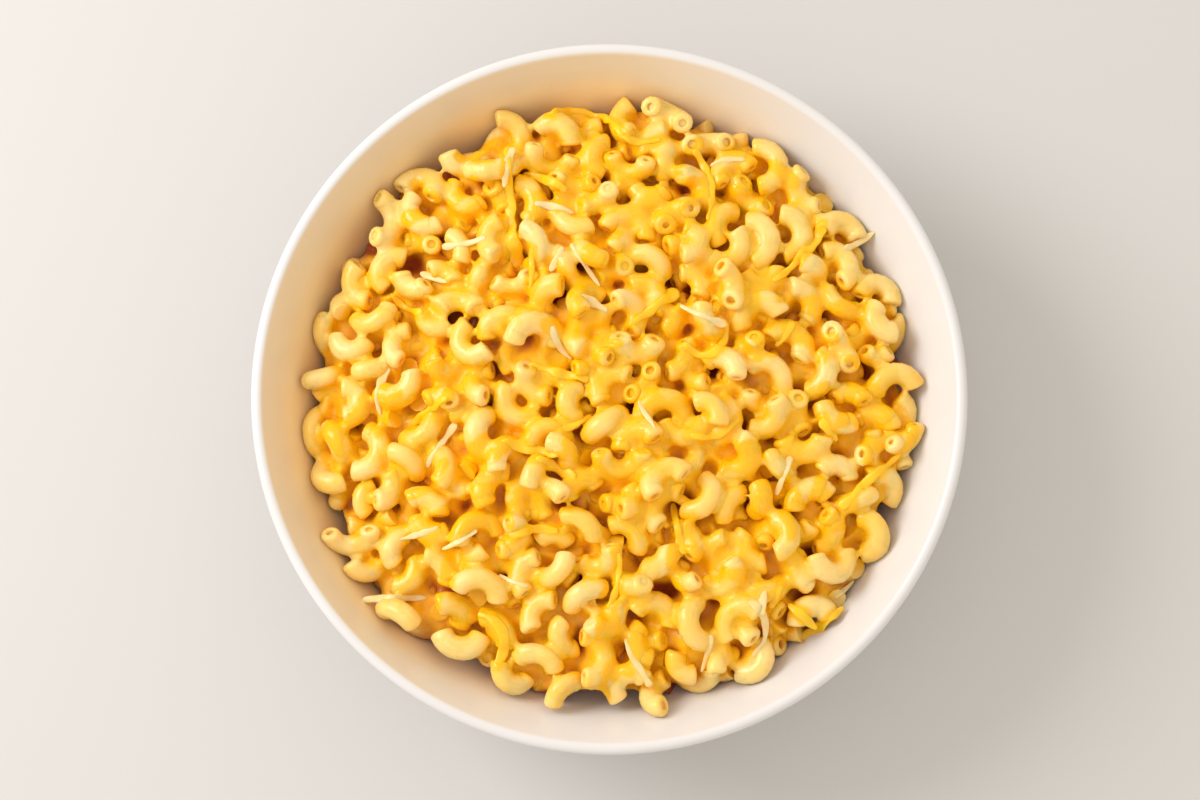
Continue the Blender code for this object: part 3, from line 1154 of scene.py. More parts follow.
@dataclass(frozen=True)
class Macaroni:
    """The cooked elbows, with thick walls, soft cut ends and open bores."""

    end_round: float = 1.3 * MM
    rim_steps: int = 3
    bore_shares: tuple[float, float] = (0.34, 0.50)
    bore_depths: tuple[float, float] = (0.8 * MM, 4.5 * MM)
    bore_lip: float = 0.15 * MM
    bore_dip: float = 0.1 * MM
    skew: float = 0.09
    skew_power: int = 6
    lump: float = 0.44 * MM
    lump_size: float = 6.5 * MM
    flat: float = 0.10
    least_flat: float = -0.3
    shape_seed: int = 100
    bore_seed: int = 5000

    def tube(
        self, elbow: Elbow, sides: int, steps: int, swell: float = 0.0, trim: float = 0.0
    ) -> bmesh.types.BMesh:
        """A closed bent tube in the elbow's own axes.

        Args:
            elbow: the elbow.
            sides: sides of its round section.
            steps: steps along its bend.
            swell: how much thicker than the elbow it is.
            trim: how much shorter each end is.

        Returns:
            The tube's bmesh.
        """
        bm = bmesh.new()
        half = elbow.arc / 2.0 - trim / elbow.bend
        upright = Matrix.Translation((0.0, elbow.bend, 0.0)) @ Matrix.Rotation(math.radians(90.0), 4, "Y")
        start = Matrix.Rotation(half, 4, "Z") @ upright
        ring = bmesh.ops.create_circle(bm, segments=sides, radius=elbow.tube + swell, matrix=start)["verts"]
        edges = list(bm.edges)
        last = bmesh.ops.spin(
            bm,
            geom=ring + edges,
            cent=(0.0, 0.0, 0.0),
            axis=(0.0, 0.0, 1.0),
            angle=-2.0 * half,
            steps=steps,
        )["geom_last"]
        ends = [edges, [part for part in last if isinstance(part, bmesh.types.BMEdge)]]
        for loop in ends:
            bmesh.ops.contextual_create(bm, geom=loop)
        bmesh.ops.recalc_face_normals(bm, faces=bm.faces)
        return bm

    def round_ends(self, bm: bmesh.types.BMesh, sides: int, size: float) -> list[bmesh.types.BMFace]:
        """Adds a round rim to a tube's two ends, so each grows longer by the rim's radius.

        Args:
            bm: the tube.
            sides: sides of its round section.
            size: the rims' radius.

        Returns:
            The two end faces.
        """
        quarter = math.radians(90.0) / self.rim_steps
        for step in range(self.rim_steps):
            caps = [face for face in bm.faces if len(face.verts) == sides]
            rise = math.sin(quarter * (step + 1)) - math.sin(quarter * step)
            draw_in = math.cos(quarter * step) - math.cos(quarter * (step + 1))
            bmesh.ops.inset_individual(bm, faces=caps, thickness=size * draw_in, depth=size * rise)
        return [face for face in bm.faces if len(face.verts) == sides]

    def cut_ends(self, bm: bmesh.types.BMesh, elbow: Elbow, sides: int) -> None:
        """Rounds the cut ends and sinks their bores, some of which sauce has filled.

        Args:
            bm: the tube.
            elbow: the elbow that it is made for.
            sides: sides of its round section.
        """
        draw = np.random.RandomState(elbow.index + self.bore_seed)
        caps = self.round_ends(bm, sides, self.end_round)
        wall = elbow.tube * (1.0 - draw.uniform(*self.bore_shares)) - self.end_round
        bmesh.ops.inset_individual(bm, faces=caps, thickness=wall, depth=0.0)
        caps = [face for face in bm.faces if len(face.verts) == sides]
        bmesh.ops.inset_individual(bm, faces=caps, thickness=self.bore_lip, depth=-self.bore_dip)
        caps = [face for face in bm.faces if len(face.verts) == sides]
        for face in bmesh.ops.extrude_discrete_faces(bm, faces=caps)["faces"]:
            inwards = 1.0 if face.calc_center_median().x > 0.0 else -1.0
            turn = Matrix.Rotation(inwards * draw.uniform(*self.bore_depths) / elbow.bend, 3, "Z")
            bmesh.ops.rotate(bm, verts=face.verts, cent=(0.0, 0.0, 0.0), matrix=turn)

    def cook(self, bm: bmesh.types.BMesh, elbow: Elbow) -> None:
        """Gives a tube the uneven shape of a soft cooked elbow, then lays it in its place.

        The draws depend on the elbow alone, so the sauce's tubes get the same shape as the elbow's own.

        Args:
            bm: a tube in the elbow's own axes.
            elbow: the elbow.
        """
        draw = np.random.RandomState(elbow.index + self.shape_seed)
        skews = draw.uniform(-self.skew, self.skew, 2)
        flat = draw.uniform(self.flat * self.least_flat, self.flat)
        away = Vector(draw.uniform(-50.0, 50.0, 3))
        half = elbow.arc / 2.0
        for vert in bm.verts:
            angle = math.atan2(vert.co.x, vert.co.y)
            out = math.hypot(vert.co.x, vert.co.y) - elbow.bend
            near_end = min(abs(angle) / half, 1.0) ** self.skew_power
            angle += near_end * (skews[0] if angle < 0.0 else skews[1]) * out / elbow.bend
            middle = elbow.around(angle)
            side = elbow.around(angle, out) - middle
            vert.co = middle + side * (1.0 + flat * 0.5) + Vector((0.0, 0.0, vert.co.z * (1.0 - flat)))
            lump = noise.noise(vert.co / self.lump_size + away)
            vert.co += (vert.co - middle) / elbow.tube * lump * self.lump
        bmesh.ops.transform(bm, matrix=elbow.place, verts=bm.verts)

    def one(self, elbow: Elbow, depth: Depth) -> bmesh.types.BMesh:
        """Makes one elbow in its place in the heap.

        Args:
            elbow: the elbow.
            depth: how deep it lies.

        Returns:
            Its bmesh.
        """
        sides, steps = depth.value
        on_top = depth is Depth.ON_TOP
        bm = self.tube(elbow, sides, steps, trim=self.end_round if on_top else 0.0)
        if on_top:
            self.cut_ends(bm, elbow, sides)
        self.cook(bm, elbow)
        return bm

    def built(
        self,
        elbows: Sequence[Elbow],
        skyline: Skyline,
        melts: "MeltedCheddar",
        material: bpy.types.Material,
    ) -> bpy.types.Object:
        """Builds every elbow that can be seen, as one piece.

        Args:
            elbows: the laid elbows.
            skyline: the heap's top.
            melts: where cheddar has melted.
            material: cooked pasta.

        Returns:
            The macaroni.
        """
        seen = [(elbow, skyline.depth_of(elbow)) for elbow in elbows]
        seen = [(elbow, depth) for elbow, depth in seen if depth is not Depth.BURIED]
        mesh = joined(self.one(elbow, depth) for elbow, depth in seen)
        places = points_of(mesh)
        store(mesh, "tint", nearest_tints(places, elbows))
        store(mesh, "melt", melts.shares(places))
        skyline.store_on(mesh)
        smooth_shaded(mesh, sharp=60.0)
        return shown("elbow_macaroni", mesh, material)


# ---------------------------------------------------------------- the cheese


@dataclass(frozen=True)
class CheeseSauce:
    """The sauce over and between the elbows.

    It is cast from swollen elbows fused into one body, then shrunk back: where two elbows lie closer
    than twice the swelling, sauce bridges them. More of it hangs between some elbows as webs, and a lumpy
    bed of it fills the heap from below. Where its coat is below nothing, the elbow's own surface shows.
    """

    swell: float = 0.55 * MM
    voxel: float = 0.85 * MM
    coat: float = 0.14 * MM
    coat_change: float = 0.36 * MM
    coat_patches: tuple[float, float] = (13.0 * MM, 5.0 * MM)
    small_patches: float = 0.45
    thinnest: float = -0.35 * MM
    tube_sides: int = 10
    tube_steps: int = 7
    bare_ends: tuple[float, float] = (0.0, 3.0 * MM)
    end_round: float = 1.6 * MM
    tube_seed: int = 31
    web_seed: int = 17
    web_beads: int = 6
    web_share: float = 0.2
    web_sizes: tuple[float, float] = (2.0 * MM, 3.0 * MM)
    web_reach: float = 1.2 * MM
    web_span: float = 9.5 * MM
    web_sag: float = 0.8 * MM
    web_deepest: float = 14.0 * MM
    filled_below: float = 11.4 * MM
    bed_lump: float = 9.0 * MM
    bed_lump_size: float = 6.0 * MM
    floor_height: float = 27.5 * MM
    floor_thickness: float = 4.0 * MM
    bed_radii: tuple[float, float] = (86.0 * MM, 95.0 * MM)
    bed_rings: int = 58
    bed_sides: int = 240
    smoothings: int = 2
    most_triangles: int = 190000

    def tubes(self, elbows: Sequence[Elbow], macaroni: Macaroni, skyline: Skyline) -> list[bmesh.types.BMesh]:
        """Makes the swollen elbows.

        Args:
            elbows: the laid elbows.
            macaroni: makes their tubes.
            skyline: the heap's top.

        Returns:
            One bmesh for each elbow that can be seen.
        """
        draw = np.random.RandomState(self.tube_seed)
        made = []
        for elbow in elbows:
            bare = draw.uniform(*self.bare_ends)
            if skyline.depth_of(elbow) is Depth.BURIED:
                continue
            trim = bare - self.swell + self.end_round
            tube = macaroni.tube(elbow, self.tube_sides, self.tube_steps, self.swell, trim)
            macaroni.round_ends(tube, self.tube_sides, self.end_round)
            macaroni.cook(tube, elbow)
            made.append(tube)
        return made

    def webs(self, elbows: Sequence[Elbow], skyline: Skyline) -> list[bmesh.types.BMesh]:
        """Makes blobs of sauce between elbows that lie close together.

        Args:
            elbows: the laid elbows.
            skyline: the heap's top.

        Returns:
            One bmesh for each blob.
        """
        draw = np.random.RandomState(self.web_seed)
        beads = [(bead, elbow) for elbow in elbows for bead in elbow.beads(self.web_beads)]
        tree = tree_of([bead for bead, _ in beads])
        made = []
        for bead, elbow in beads:
            for _, index, apart in tree.find_range(bead, self.web_span):
                other = beads[index][1]
                gap = apart - elbow.tube - other.tube
                if other.index <= elbow.index or gap > self.web_reach or draw.uniform() > self.web_share:
                    continue
                middle = (bead + beads[index][0]) / 2.0 - Vector((0.0, 0.0, self.web_sag))
                if skyline.depth(np.array([middle]))[0] > self.web_deepest:
                    continue
                blob = bmesh.new()
                size = draw.uniform(*self.web_sizes)
                place = Matrix.Translation(middle)
                bmesh.ops.create_icosphere(blob, subdivisions=1, radius=size, matrix=place)
                made.append(blob)
        return made

    def bed(self, heap: Heap, skyline: Skyline) -> bmesh.types.BMesh:
        """Makes the lumpy bed of sauce, which rises to about a set depth below the heap's envelope.

        At its rim it lies against the bowl's wall.

        Args:
            heap: the rule of the heap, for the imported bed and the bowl.
            skyline: the heap's top.

        Returns:
            The bed's bmesh.
        """
        rings = self.bed_rings
        low = self.floor_height - self.floor_thickness
        bottom, top = self.bed_radii
        profile = [(top * step / rings, self.floor_height) for step in range(rings + 1)]
        profile += [(bottom, low), (0.0, low)]
        bm = turned(profile, self.bed_sides, Vector())
        for vert in bm.verts:
            if vert.co.z < (self.floor_height + low) / 2.0:
                continue
            bed = float(heap.bed_height(np.array(vert.co.x), np.array(vert.co.y)))
            under = vert.co.z + skyline.depth(np.array([vert.co]))[0] - self.filled_below
            under += self.bed_lump * noise.noise(Vector((vert.co.x, vert.co.y, 0.0)) / self.bed_lump_size)
            wall = float(heap.bowl.inside_height(np.array(math.hypot(vert.co.x, vert.co.y))))
            vert.co.z = max(bed, under, wall) + self.swell
        return bm

    def cast(self, parts: Sequence[bmesh.types.BMesh]) -> bmesh.types.BMesh:
        """Fuses the parts of the sauce and drops the closed hollows inside.

        Args:
            parts: the swollen elbows, the webs and the bed, which are freed.

        Returns:
            The outer shell.
        """
        fused = modified(joined(parts), "REMESH", mode="VOXEL", voxel_size=self.voxel)
        bm = bmesh.new()
        bm.from_mesh(fused)
        bpy.data.meshes.remove(fused)
        hollows = [vert for shell in islands(bm)[1:] for vert in shell]
        bmesh.ops.delete(bm, geom=hollows, context="VERTS")
        return bm

    def shrink(self, bm: bmesh.types.BMesh, melts: "MeltedCheddar") -> None:
        """Shrinks the cast back by the swelling, less the coat of sauce that stays on the elbows.

        Args:
            bm: the cast.
            melts: where cheddar has melted, which thickens the coat.
        """
        even = {"factor": 0.5, "use_axis_x": True, "use_axis_y": True, "use_axis_z": True}
        for _ in range(self.smoothings):
            bmesh.ops.smooth_vert(bm, verts=bm.verts, **even)
        bm.normal_update()
        moves = []
        for vert in bm.verts:
            wide, narrow = (noise.noise(vert.co / size) for size in self.coat_patches)
            patch = wide + self.small_patches * narrow
            coat = self.coat + self.coat_change * patch + melts.rise * melts.share(vert.co)
            moves.append(vert.normal * (max(coat, self.thinnest) - self.swell))
        for vert, move in zip(bm.verts, moves):
            vert.co += move
        for _ in range(self.smoothings):
            bmesh.ops.smooth_vert(bm, verts=bm.verts, **even)

    def level(self, bm: bmesh.types.BMesh) -> None:
        """Cuts the unseen bottom off flat and closes it.

        Args:
            bm: the sauce.
        """
        every = list(bm.verts) + list(bm.edges) + list(bm.faces)
        cut = bmesh.ops.bisect_plane(
            bm,
            geom=every,
            dist=0.001 * MM,
            plane_co=(0.0, 0.0, self.floor_height),
            plane_no=(0.0, 0.0, 1.0),
            clear_inner=True,
        )["geom_cut"]
        bmesh.ops.edgeloop_fill(bm, edges=[part for part in cut if isinstance(part, bmesh.types.BMEdge)])
        bmesh.ops.recalc_face_normals(bm, faces=bm.faces)

    def built(
        self,
        elbows: Sequence[Elbow],
        heap: Heap,
        macaroni: Macaroni,
        skyline: Skyline,
        melts: "MeltedCheddar",
        material: bpy.types.Material,
    ) -> bpy.types.Object:
        """Builds the sauce.

        Args:
            elbows: the laid elbows.
            heap: their rule, for the bed.
            macaroni: makes the swollen tubes.
            skyline: the heap's top.
            melts: where cheddar has melted.
            material: cheese sauce.

        Returns:
            The sauce, as one closed piece.
        """
        swollen = self.tubes(elbows, macaroni, skyline)
        bm = self.cast(swollen + self.webs(elbows, skyline) + [self.bed(heap, skyline)])
        self.shrink(bm, melts)
        self.level(bm)
        mesh = thinned(mesh_of(bm), self.most_triangles)
        places = points_of(mesh)
        store(mesh, "tint", nearest_tints(places, elbows))
        store(mesh, "melt", melts.shares(places))
        skyline.store_on(mesh)
        smooth_shaded(mesh)
        return shown("cheese_sauce", mesh, material)


def islands(bm: bmesh.types.BMesh) -> list[list[bmesh.types.BMVert]]:
    """Finds the separate shells of a bmesh.

    Args:
        bm: the bmesh.

    Returns:
        Each shell's vertices, the shell with the most of them first.
    """
    waiting = set(bm.verts)
    shells = []
    while waiting:
        front = [waiting.pop()]
        shell = []
        while front:
            vert = front.pop()
            shell.append(vert)
            near = {edge.other_vert(vert) for edge in vert.link_edges} & waiting
            waiting -= near
            front += near
        shells.append(shell)
    return sorted(shells, key=len, reverse=True)


def nearest_tints(
    places: np.ndarray, elbows: Sequence[Elbow], nearest: int = 3, beads_each: int = 7
) -> np.ndarray:
    """The tints of the elbows near each point, averaged.

    Args:
        places: the points.
        elbows: the laid elbows.
        nearest: how many beads count.
        beads_each: how many beads stand for each elbow.

    Returns:
        One tint for each point.
    """
    tree = tree_of([bead for elbow in elbows for bead in elbow.beads(beads_each)])
    tints = [elbow.tint for elbow in elbows for _ in range(beads_each)]
    found = ([index for _, index, _ in tree.find_n(place, nearest)] for place in places)
    return np.array([sum(tints[index] for index in near) / nearest for near in found])


@dataclass(frozen=True)
class Strand:
    """A shred of cheese seen from above: its middle in mm, its heading and its whole turn in degrees."""

    x: float
    y: float
    heading: float
    length: float
    turn: float = 0.0

    def path(self, spacing: float) -> list[tuple[float, float]]:
        """Points along the strand from above.

        Args:
            spacing: the distance between them, in metres.

        Returns:
            (x, y) points in metres, with the strand's middle at its place.
        """
        count = max(int(self.length * MM / spacing), 2)
        points = [(0.0, 0.0)]
        for step in range(count):
            angle = math.radians(self.heading + self.turn * ((step + 0.5) / count - 0.5))
            last = points[-1]
            points.append((last[0] + spacing * math.cos(angle), last[1] + spacing * math.sin(angle)))
        middle = [sum(point[k] for point in points) / len(points) for k in (0, 1)]
        return [(x - middle[0] + self.x * MM, y - middle[1] + self.y * MM) for x, y in points]


@dataclass(frozen=True)
class MeltedCheddar:
    """Where strands of cheddar have melted into the sauce: along lines over the heap's top."""

    lines: KDTree
    width: float = 3.4 * MM
    rise: float = 0.28 * MM
    uneven: float = 0.55
    uneven_size: float = 5.0 * MM
    edge: float = 1.6

    @classmethod
    def along(
        cls, strands: Sequence[Strand], skyline: Skyline, spacing: float = 1.0 * MM
    ) -> "MeltedCheddar":
        """Melts strands into the heap's top.

        Args:
            strands: the strands, seen from above.
            skyline: the heap's top.
            spacing: the distance between points along them.

        Returns:
            The melted cheddar.
        """
        paths = np.array([(x, y, 0.0) for strand in strands for x, y in strand.path(spacing)])
        paths[:, 2] = skyline.cover(paths)
        return cls(tree_of(paths))

    def share(self, place: Vector) -> float:
        """How much melted cheddar there is at a point.

        Args:
            place: the point.

        Returns:
            Its share, from 0 to 1.
        """
        distance = self.lines.find(place)[2]
        uneven = 1.0 + self.uneven * noise.noise(place / self.uneven_size)
        return max(0.0, min(1.0, self.edge * (1.0 - distance / (self.width * uneven))))

    def shares(self, places: np.ndarray) -> np.ndarray:
        """How much melted cheddar there is at each of many places."""
        return np.array([self.share(Vector(place)) for place in places])


@dataclass(frozen=True)
class Core:
    """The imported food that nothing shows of: from the bowl's inside up to the bed."""

    gap: float = 0.35 * MM
    sink: float = 2.0 * MM
    edge: float = 88.0 * MM
    rings: int = 12
    sides: int = 96

    def built(self, bowl: Bowl, heap: Heap, material: bpy.types.Material) -> bpy.types.Object:
        """Builds the core.

        Args:
            bowl: the bowl that it fills.
            heap: the rule of the heap, for the bed.
            material: cheese sauce.

        Returns:
            The core.
        """
        low = [(0.0, bowl.floor_top + self.gap)]
        low += [point for point in bowl.shoulder(-self.gap) if point[0] < self.edge]
        top = []
        for step in range(self.rings, -1, -1):
            radius = self.edge * step / self.rings
            bed = float(heap.bed_height(np.array(radius), np.array(0.0)))
            top.append((radius, bed - self.sink))
        mesh = mesh_of(turned(low + top, self.sides, Vector()))
        # painted shade: a low crest and a great depth make the pasta finish paint the core golden and dark
        # reddish brown
        looks = {"tint": 0.5, "melt": 0.0, "crest": -10.0 * MM, "depth": 20.0 * MM}
        for name, value in looks.items():
            store(mesh, name, np.full(len(mesh.vertices), value))
        smooth_shaded(mesh, sharp=60.0)
        return shown("packed_core", mesh, material)


def rounded(share: float, least: float) -> float:
    """Finds how wide a blunt, round tip is.

    Args:
        share: how far from its end, over its length.
        least: its width at the very end.

    Returns:
        Its width, as a share of the full width.
    """
    return least + (1.0 - least) * math.sqrt(max(0.0, 1.0 - (1.0 - min(share, 1.0)) ** 2))


@dataclass(frozen=True)
class Shreds:
    """Grated cheese lying on the heap, each strand draped over what is under it.

    A strand is width wide and thickness thick. It lies sunk by sink in what it touches, and hangs a little
    between, the more so the greater its sag.
    """

    name: str
    strands: Sequence[Strand]
    width: float
    thickness: float
    sink: float
    sag: float
    seed: int
    sides: int = 12
    spacing: float = 0.8 * MM
    squareness: float = 0.78
    wander: float = 0.7 * MM
    wander_size: float = 9.0 * MM
    settlings: int = 400
    smoothings: int = 2
    widths: tuple[float, float] = (0.8, 1.2)
    thicknesses: tuple[float, float] = (0.85, 1.2)
    tip_steps: tuple[int, int] = (2, 7)
    tip_widths: tuple[float, float] = (0.3, 0.55)
    wedge: float = 0.4
    uneven: tuple[float, float] = (0.6, 0.35)
    uneven_sizes: tuple[float, float] = (4.0 * MM, 3.0 * MM)
    roll: float = math.radians(40.0)
    roll_size: float = 12.0 * MM

    def heights(self, path: Sequence[tuple[float, float]], under: BVHTree) -> list[float]:
        """Drapes a strand's middle line: on what it touches, with a little sag between.

        Args:
            path: x and y along the strand.
            under: what it lies on.

        Returns:
            One height for each point.
        """
        above = 0.2
        floor = []
        for x, y in path:
            hit = under.ray_cast(Vector((x, y, above)), Vector((0.0, 0.0, -1.0)))[0]
            floor.append((hit.z if hit else 0.0) + self.thickness / 2.0 - self.sink)
        line = [max(floor)] * len(floor)
        for _ in range(self.settlings):
            ends = [line[1]] + line[:-1], line[1:] + [line[-2]]
            line = [max(low, (a + b) / 2.0 - self.sag) for low, a, b in zip(floor, *ends)]
        return line

    def line(self, strand: Strand, under: BVHTree, away: Vector) -> list[Vector]:
        """Lays a strand's middle line, wandering a little, on what is under it.

        Args:
            strand: the strand.
            under: what it lies on.
            away: this strand's own place in the noise.

        Returns:
            Points along it.
        """
        path = []
        for x, y in strand.path(self.spacing):
            near = Vector((x, y, 0.0)) / self.wander_size + away
            aside = noise.noise(near), noise.noise(near + away)
            path.append((x + self.wander * aside[0], y + self.wander * aside[1]))
        line = [Vector((x, y, z)) for (x, y), z in zip(path, self.heights(path, under))]
        for _ in range(self.smoothings):
            inner = [(a + b + 2.0 * c) / 4.0 for a, c, b in zip(line, line[1:], line[2:])]
            line = [line[0]] + inner + [line[-1]]
        return line

    def frames(self, line: Sequence[Vector], away: Vector, draw: np.random.RandomState) -> list[Matrix]:
        """Places the section at each point of a strand's middle line.

        Args:
            line: the middle line.
            away: this strand's own place in the noise.
            draw: the random draws.

        Returns:
            The section's place, direction and size at each point.
        """
        width = self.width * draw.uniform(*self.widths)
        thickness = self.thickness * draw.uniform(*self.thicknesses)
        tips = [draw.randint(*self.tip_steps) for _ in range(2)]
        blunt = [draw.uniform(*self.tip_widths) for _ in range(2)]
        wedge = draw.uniform(-self.wedge, self.wedge)
        wide_size, thick_size = self.uneven_sizes
        last = len(line) - 1
        frames = []
        for index, point in enumerate(line):
            along = (line[min(index + 1, last)] - line[max(index - 1, 0)]).normalized()
            across = along.cross(Vector((0.0, 0.0, 1.0))).normalized()
            ends = zip((index, last - index), tips, blunt)
            full = math.prod(rounded(steps / reach, least) for steps, reach, least in ends)
            uneven_wide = self.uneven[0] * noise.noise(point / wide_size + away)
            uneven_thick = self.uneven[1] * noise.noise(point / thick_size - away)
            roll = Matrix.Rotation(self.roll * noise.noise(point / self.roll_size - away), 4, along)
            wider = 1.0 + wedge * (2.0 * index / last - 1.0)
            across_half = width / 2.0 * full * wider * (1.0 + uneven_wide)
            up_half = thickness / 2.0 * full * (1.0 + uneven_thick)
            axes = Matrix((across, along.cross(across), along)).transposed().to_4x4()
            size = Matrix.Diagonal((across_half, up_half, 1.0, 1.0))
            frames.append(Matrix.Translation(point) @ roll @ axes @ size)
        return frames

    def one(self, strand: Strand, under: BVHTree, draw: np.random.RandomState) -> bmesh.types.BMesh:
        """Makes one strand: a flat section with round corners, extruded along its draped line.

        Args:
            strand: the strand.
            under: what it lies on.
            draw: the random draws.

        Returns:
            The strand's bmesh.
        """
        away = Vector(draw.uniform(-50.0, 50.0, 3))
        frames = self.frames(self.line(strand, under, away), away, draw)
        bm = bmesh.new()
        ring = bmesh.ops.create_circle(bm, segments=self.sides, radius=1.0)["verts"]
        for vert in ring:
            for k in (0, 1):
                vert.co[k] = math.copysign(abs(vert.co[k]) ** self.squareness, vert.co[k])
        bmesh.ops.transform(bm, matrix=frames[0], verts=ring)
        edges = list(bm.edges)
        bmesh.ops.contextual_create(bm, geom=edges)
        for before, after in zip(frames, frames[1:]):
            made = bmesh.ops.extrude_edge_only(bm, edges=edges)["geom"]
            ring = [part for part in made if isinstance(part, bmesh.types.BMVert)]
            edges = [part for part in made if isinstance(part, bmesh.types.BMEdge)]
            edges = [edge for edge in edges if all(vert in ring for vert in edge.verts)]
            bmesh.ops.transform(bm, matrix=after @ before.inverted(), verts=ring)
        bmesh.ops.contextual_create(bm, geom=edges)
        bmesh.ops.recalc_face_normals(bm, faces=bm.faces)
        return bm

    def built(self, under: BVHTree, material: bpy.types.Material) -> bpy.types.Object:
        """Builds every strand, as one piece.

        Args:
            under: what they lie on.
            material: their cheese.

        Returns:
            The shreds.
        """
        draw = np.random.RandomState(self.seed)
        mesh = joined(self.one(strand, under, draw) for strand in self.strands)
        smooth_shaded(mesh, sharp=75.0)
        return shown(self.name, mesh, material)


# ---------------------------------------------------------------- the studio


@dataclass(frozen=True)
class Studio:
    """The pale floor, the soft light from the left and the camera almost overhead."""

    rim_height: float
    elevation: float = math.radians(82.77)
    distance: float = 0.9071
    lens: float = 85.0
    key_azimuth: float = math.radians(158.0)
    key_elevation: float = math.radians(36.0)
    key_distance: float = 1.3
    key_size: float = 0.75
    key_power: float = 11.8
    key_colour: tuple[float, float, float] = (1.0, 0.97, 0.98)
    sky: float = 0.99
    sky_colour: Colour = (1.0, 0.935, 0.85, 1.0)
    aim: tuple[float, float] = (-3.0 * MM, -2.26 * MM)
    sensor_width: float = 36.0
    nearest: float = 0.01
    floor_radius: float = 1.6
    floor_sides: int = 96
    floor_gap: float = 0.2 * MM

    def floor(self, material: bpy.types.Material) -> bpy.types.Object:
        """Makes the floor, a disc just under the bowl's foot.

        Args:
            material: its finish.

        Returns:
            The floor.
        """
        bm = bmesh.new()
        low = Matrix.Translation((0.0, 0.0, -self.floor_gap))
        bmesh.ops.create_circle(
            bm, cap_ends=True, segments=self.floor_sides, radius=self.floor_radius, matrix=low
        )
        return shown("pale_floor", mesh_of(bm), material)

    def key(self) -> None:
        """Adds the main light, a soft disk from the left."""
        data = bpy.data.lights.new("key", "AREA")
        data.shape = "DISK"
        data.size = self.key_size
        data.energy = self.key_power
        data.color = self.key_colour
        flat, up = math.cos(self.key_elevation), math.sin(self.key_elevation)
        way = Vector((flat * math.cos(self.key_azimuth), flat * math.sin(self.key_azimuth), up))
        light = linked("key", data)
        light.location = Vector((0.0, 0.0, self.rim_height)) + way * self.key_distance
        light.rotation_euler = way.to_track_quat("Z", "Y").to_euler()

    def sky_light(self) -> None:
        """Adds even light from all round."""
        world = bpy.data.worlds.new("studio")
        world.use_nodes = True
        shade = world.node_tree.nodes["Background"]
        shade.inputs["Color"].default_value = self.sky_colour
        shade.inputs["Strength"].default_value = self.sky
        bpy.context.scene.world = world

    def camera(self) -> None:
        """Adds the camera, just off straight down, from the front."""
        data = bpy.data.cameras.new("camera")
        data.lens = self.lens
        data.sensor_width = self.sensor_width
        data.clip_start = self.nearest
        camera = linked("camera", data)
        back = Vector((0.0, -math.cos(self.elevation), math.sin(self.elevation)))
        camera.location = Vector((*self.aim, self.rim_height)) + back * self.distance
        camera.rotation_euler = back.to_track_quat("Z", "Y").to_euler()
        bpy.context.scene.camera = camera

    def exposure(self) -> None:
        """Sets plain colour, with no filmic look."""
        view = bpy.context.scene.view_settings
        view.view_transform = "Standard"
        view.look = "None"
        view.exposure = 0.0


# ---------------------------------------------------------------- everything together


CHEDDAR_STRANDS = (
    Strand(-32.0, 62.0, 95.0, 40.0, -12.0),
    Strand(-6.0, 93.0, -20.0, 30.0, -110.0),
    Strand(84.0, -27.0, 42.0, 27.0, -10.0),
    Strand(62.0, 46.0, 48.0, 26.0, 30.0),
    Strand(-25.0, -18.0, -14.0, 19.0, -16.0),
    Strand(-17.0, -24.0, -26.0, 15.0, -25.0),
    Strand(14.0, 28.0, 38.0, 20.0, 10.0),
    Strand(32.0, 70.0, 100.0, 26.0, 60.0),
    Strand(69.0, -73.0, 40.0, 16.0, 5.0),
    Strand(62.0, -71.0, -38.0, 12.0, 10.0),
    Strand(-36.0, -77.0, 110.0, 22.0, 130.0),
    Strand(33.0, 17.0, 40.0, 26.0, 200.0),
    Strand(34.0, -12.0, 20.0, 18.0, 60.0),
    Strand(-58.0, -5.0, 30.0, 15.0, -20.0),
    Strand(-10.0, -9.0, 27.0, 11.0, 10.0),
    Strand(-25.0, 41.0, 90.0, 13.0, 8.0),
    Strand(-21.0, 71.0, -24.0, 16.0, -40.0),
    Strand(-16.0, 7.0, -14.0, 20.0, 15.0),
    Strand(10.0, 85.0, -5.0, 15.0, 60.0),
    Strand(71.0, -11.0, -52.0, 9.0, 10.0),
    Strand(53.0, -65.0, 60.0, 9.0, 0.0),
    Strand(22.0, -43.0, -75.0, 17.0, 25.0),
    Strand(2.0, -60.0, 80.0, 18.0, 40.0),
    Strand(-66.0, 30.0, -35.0, 14.0, 30.0),
    Strand(-24.0, -44.0, 8.0, 16.0, -45.0),
    Strand(57.0, 20.0, 55.0, 10.0, 20.0),
)

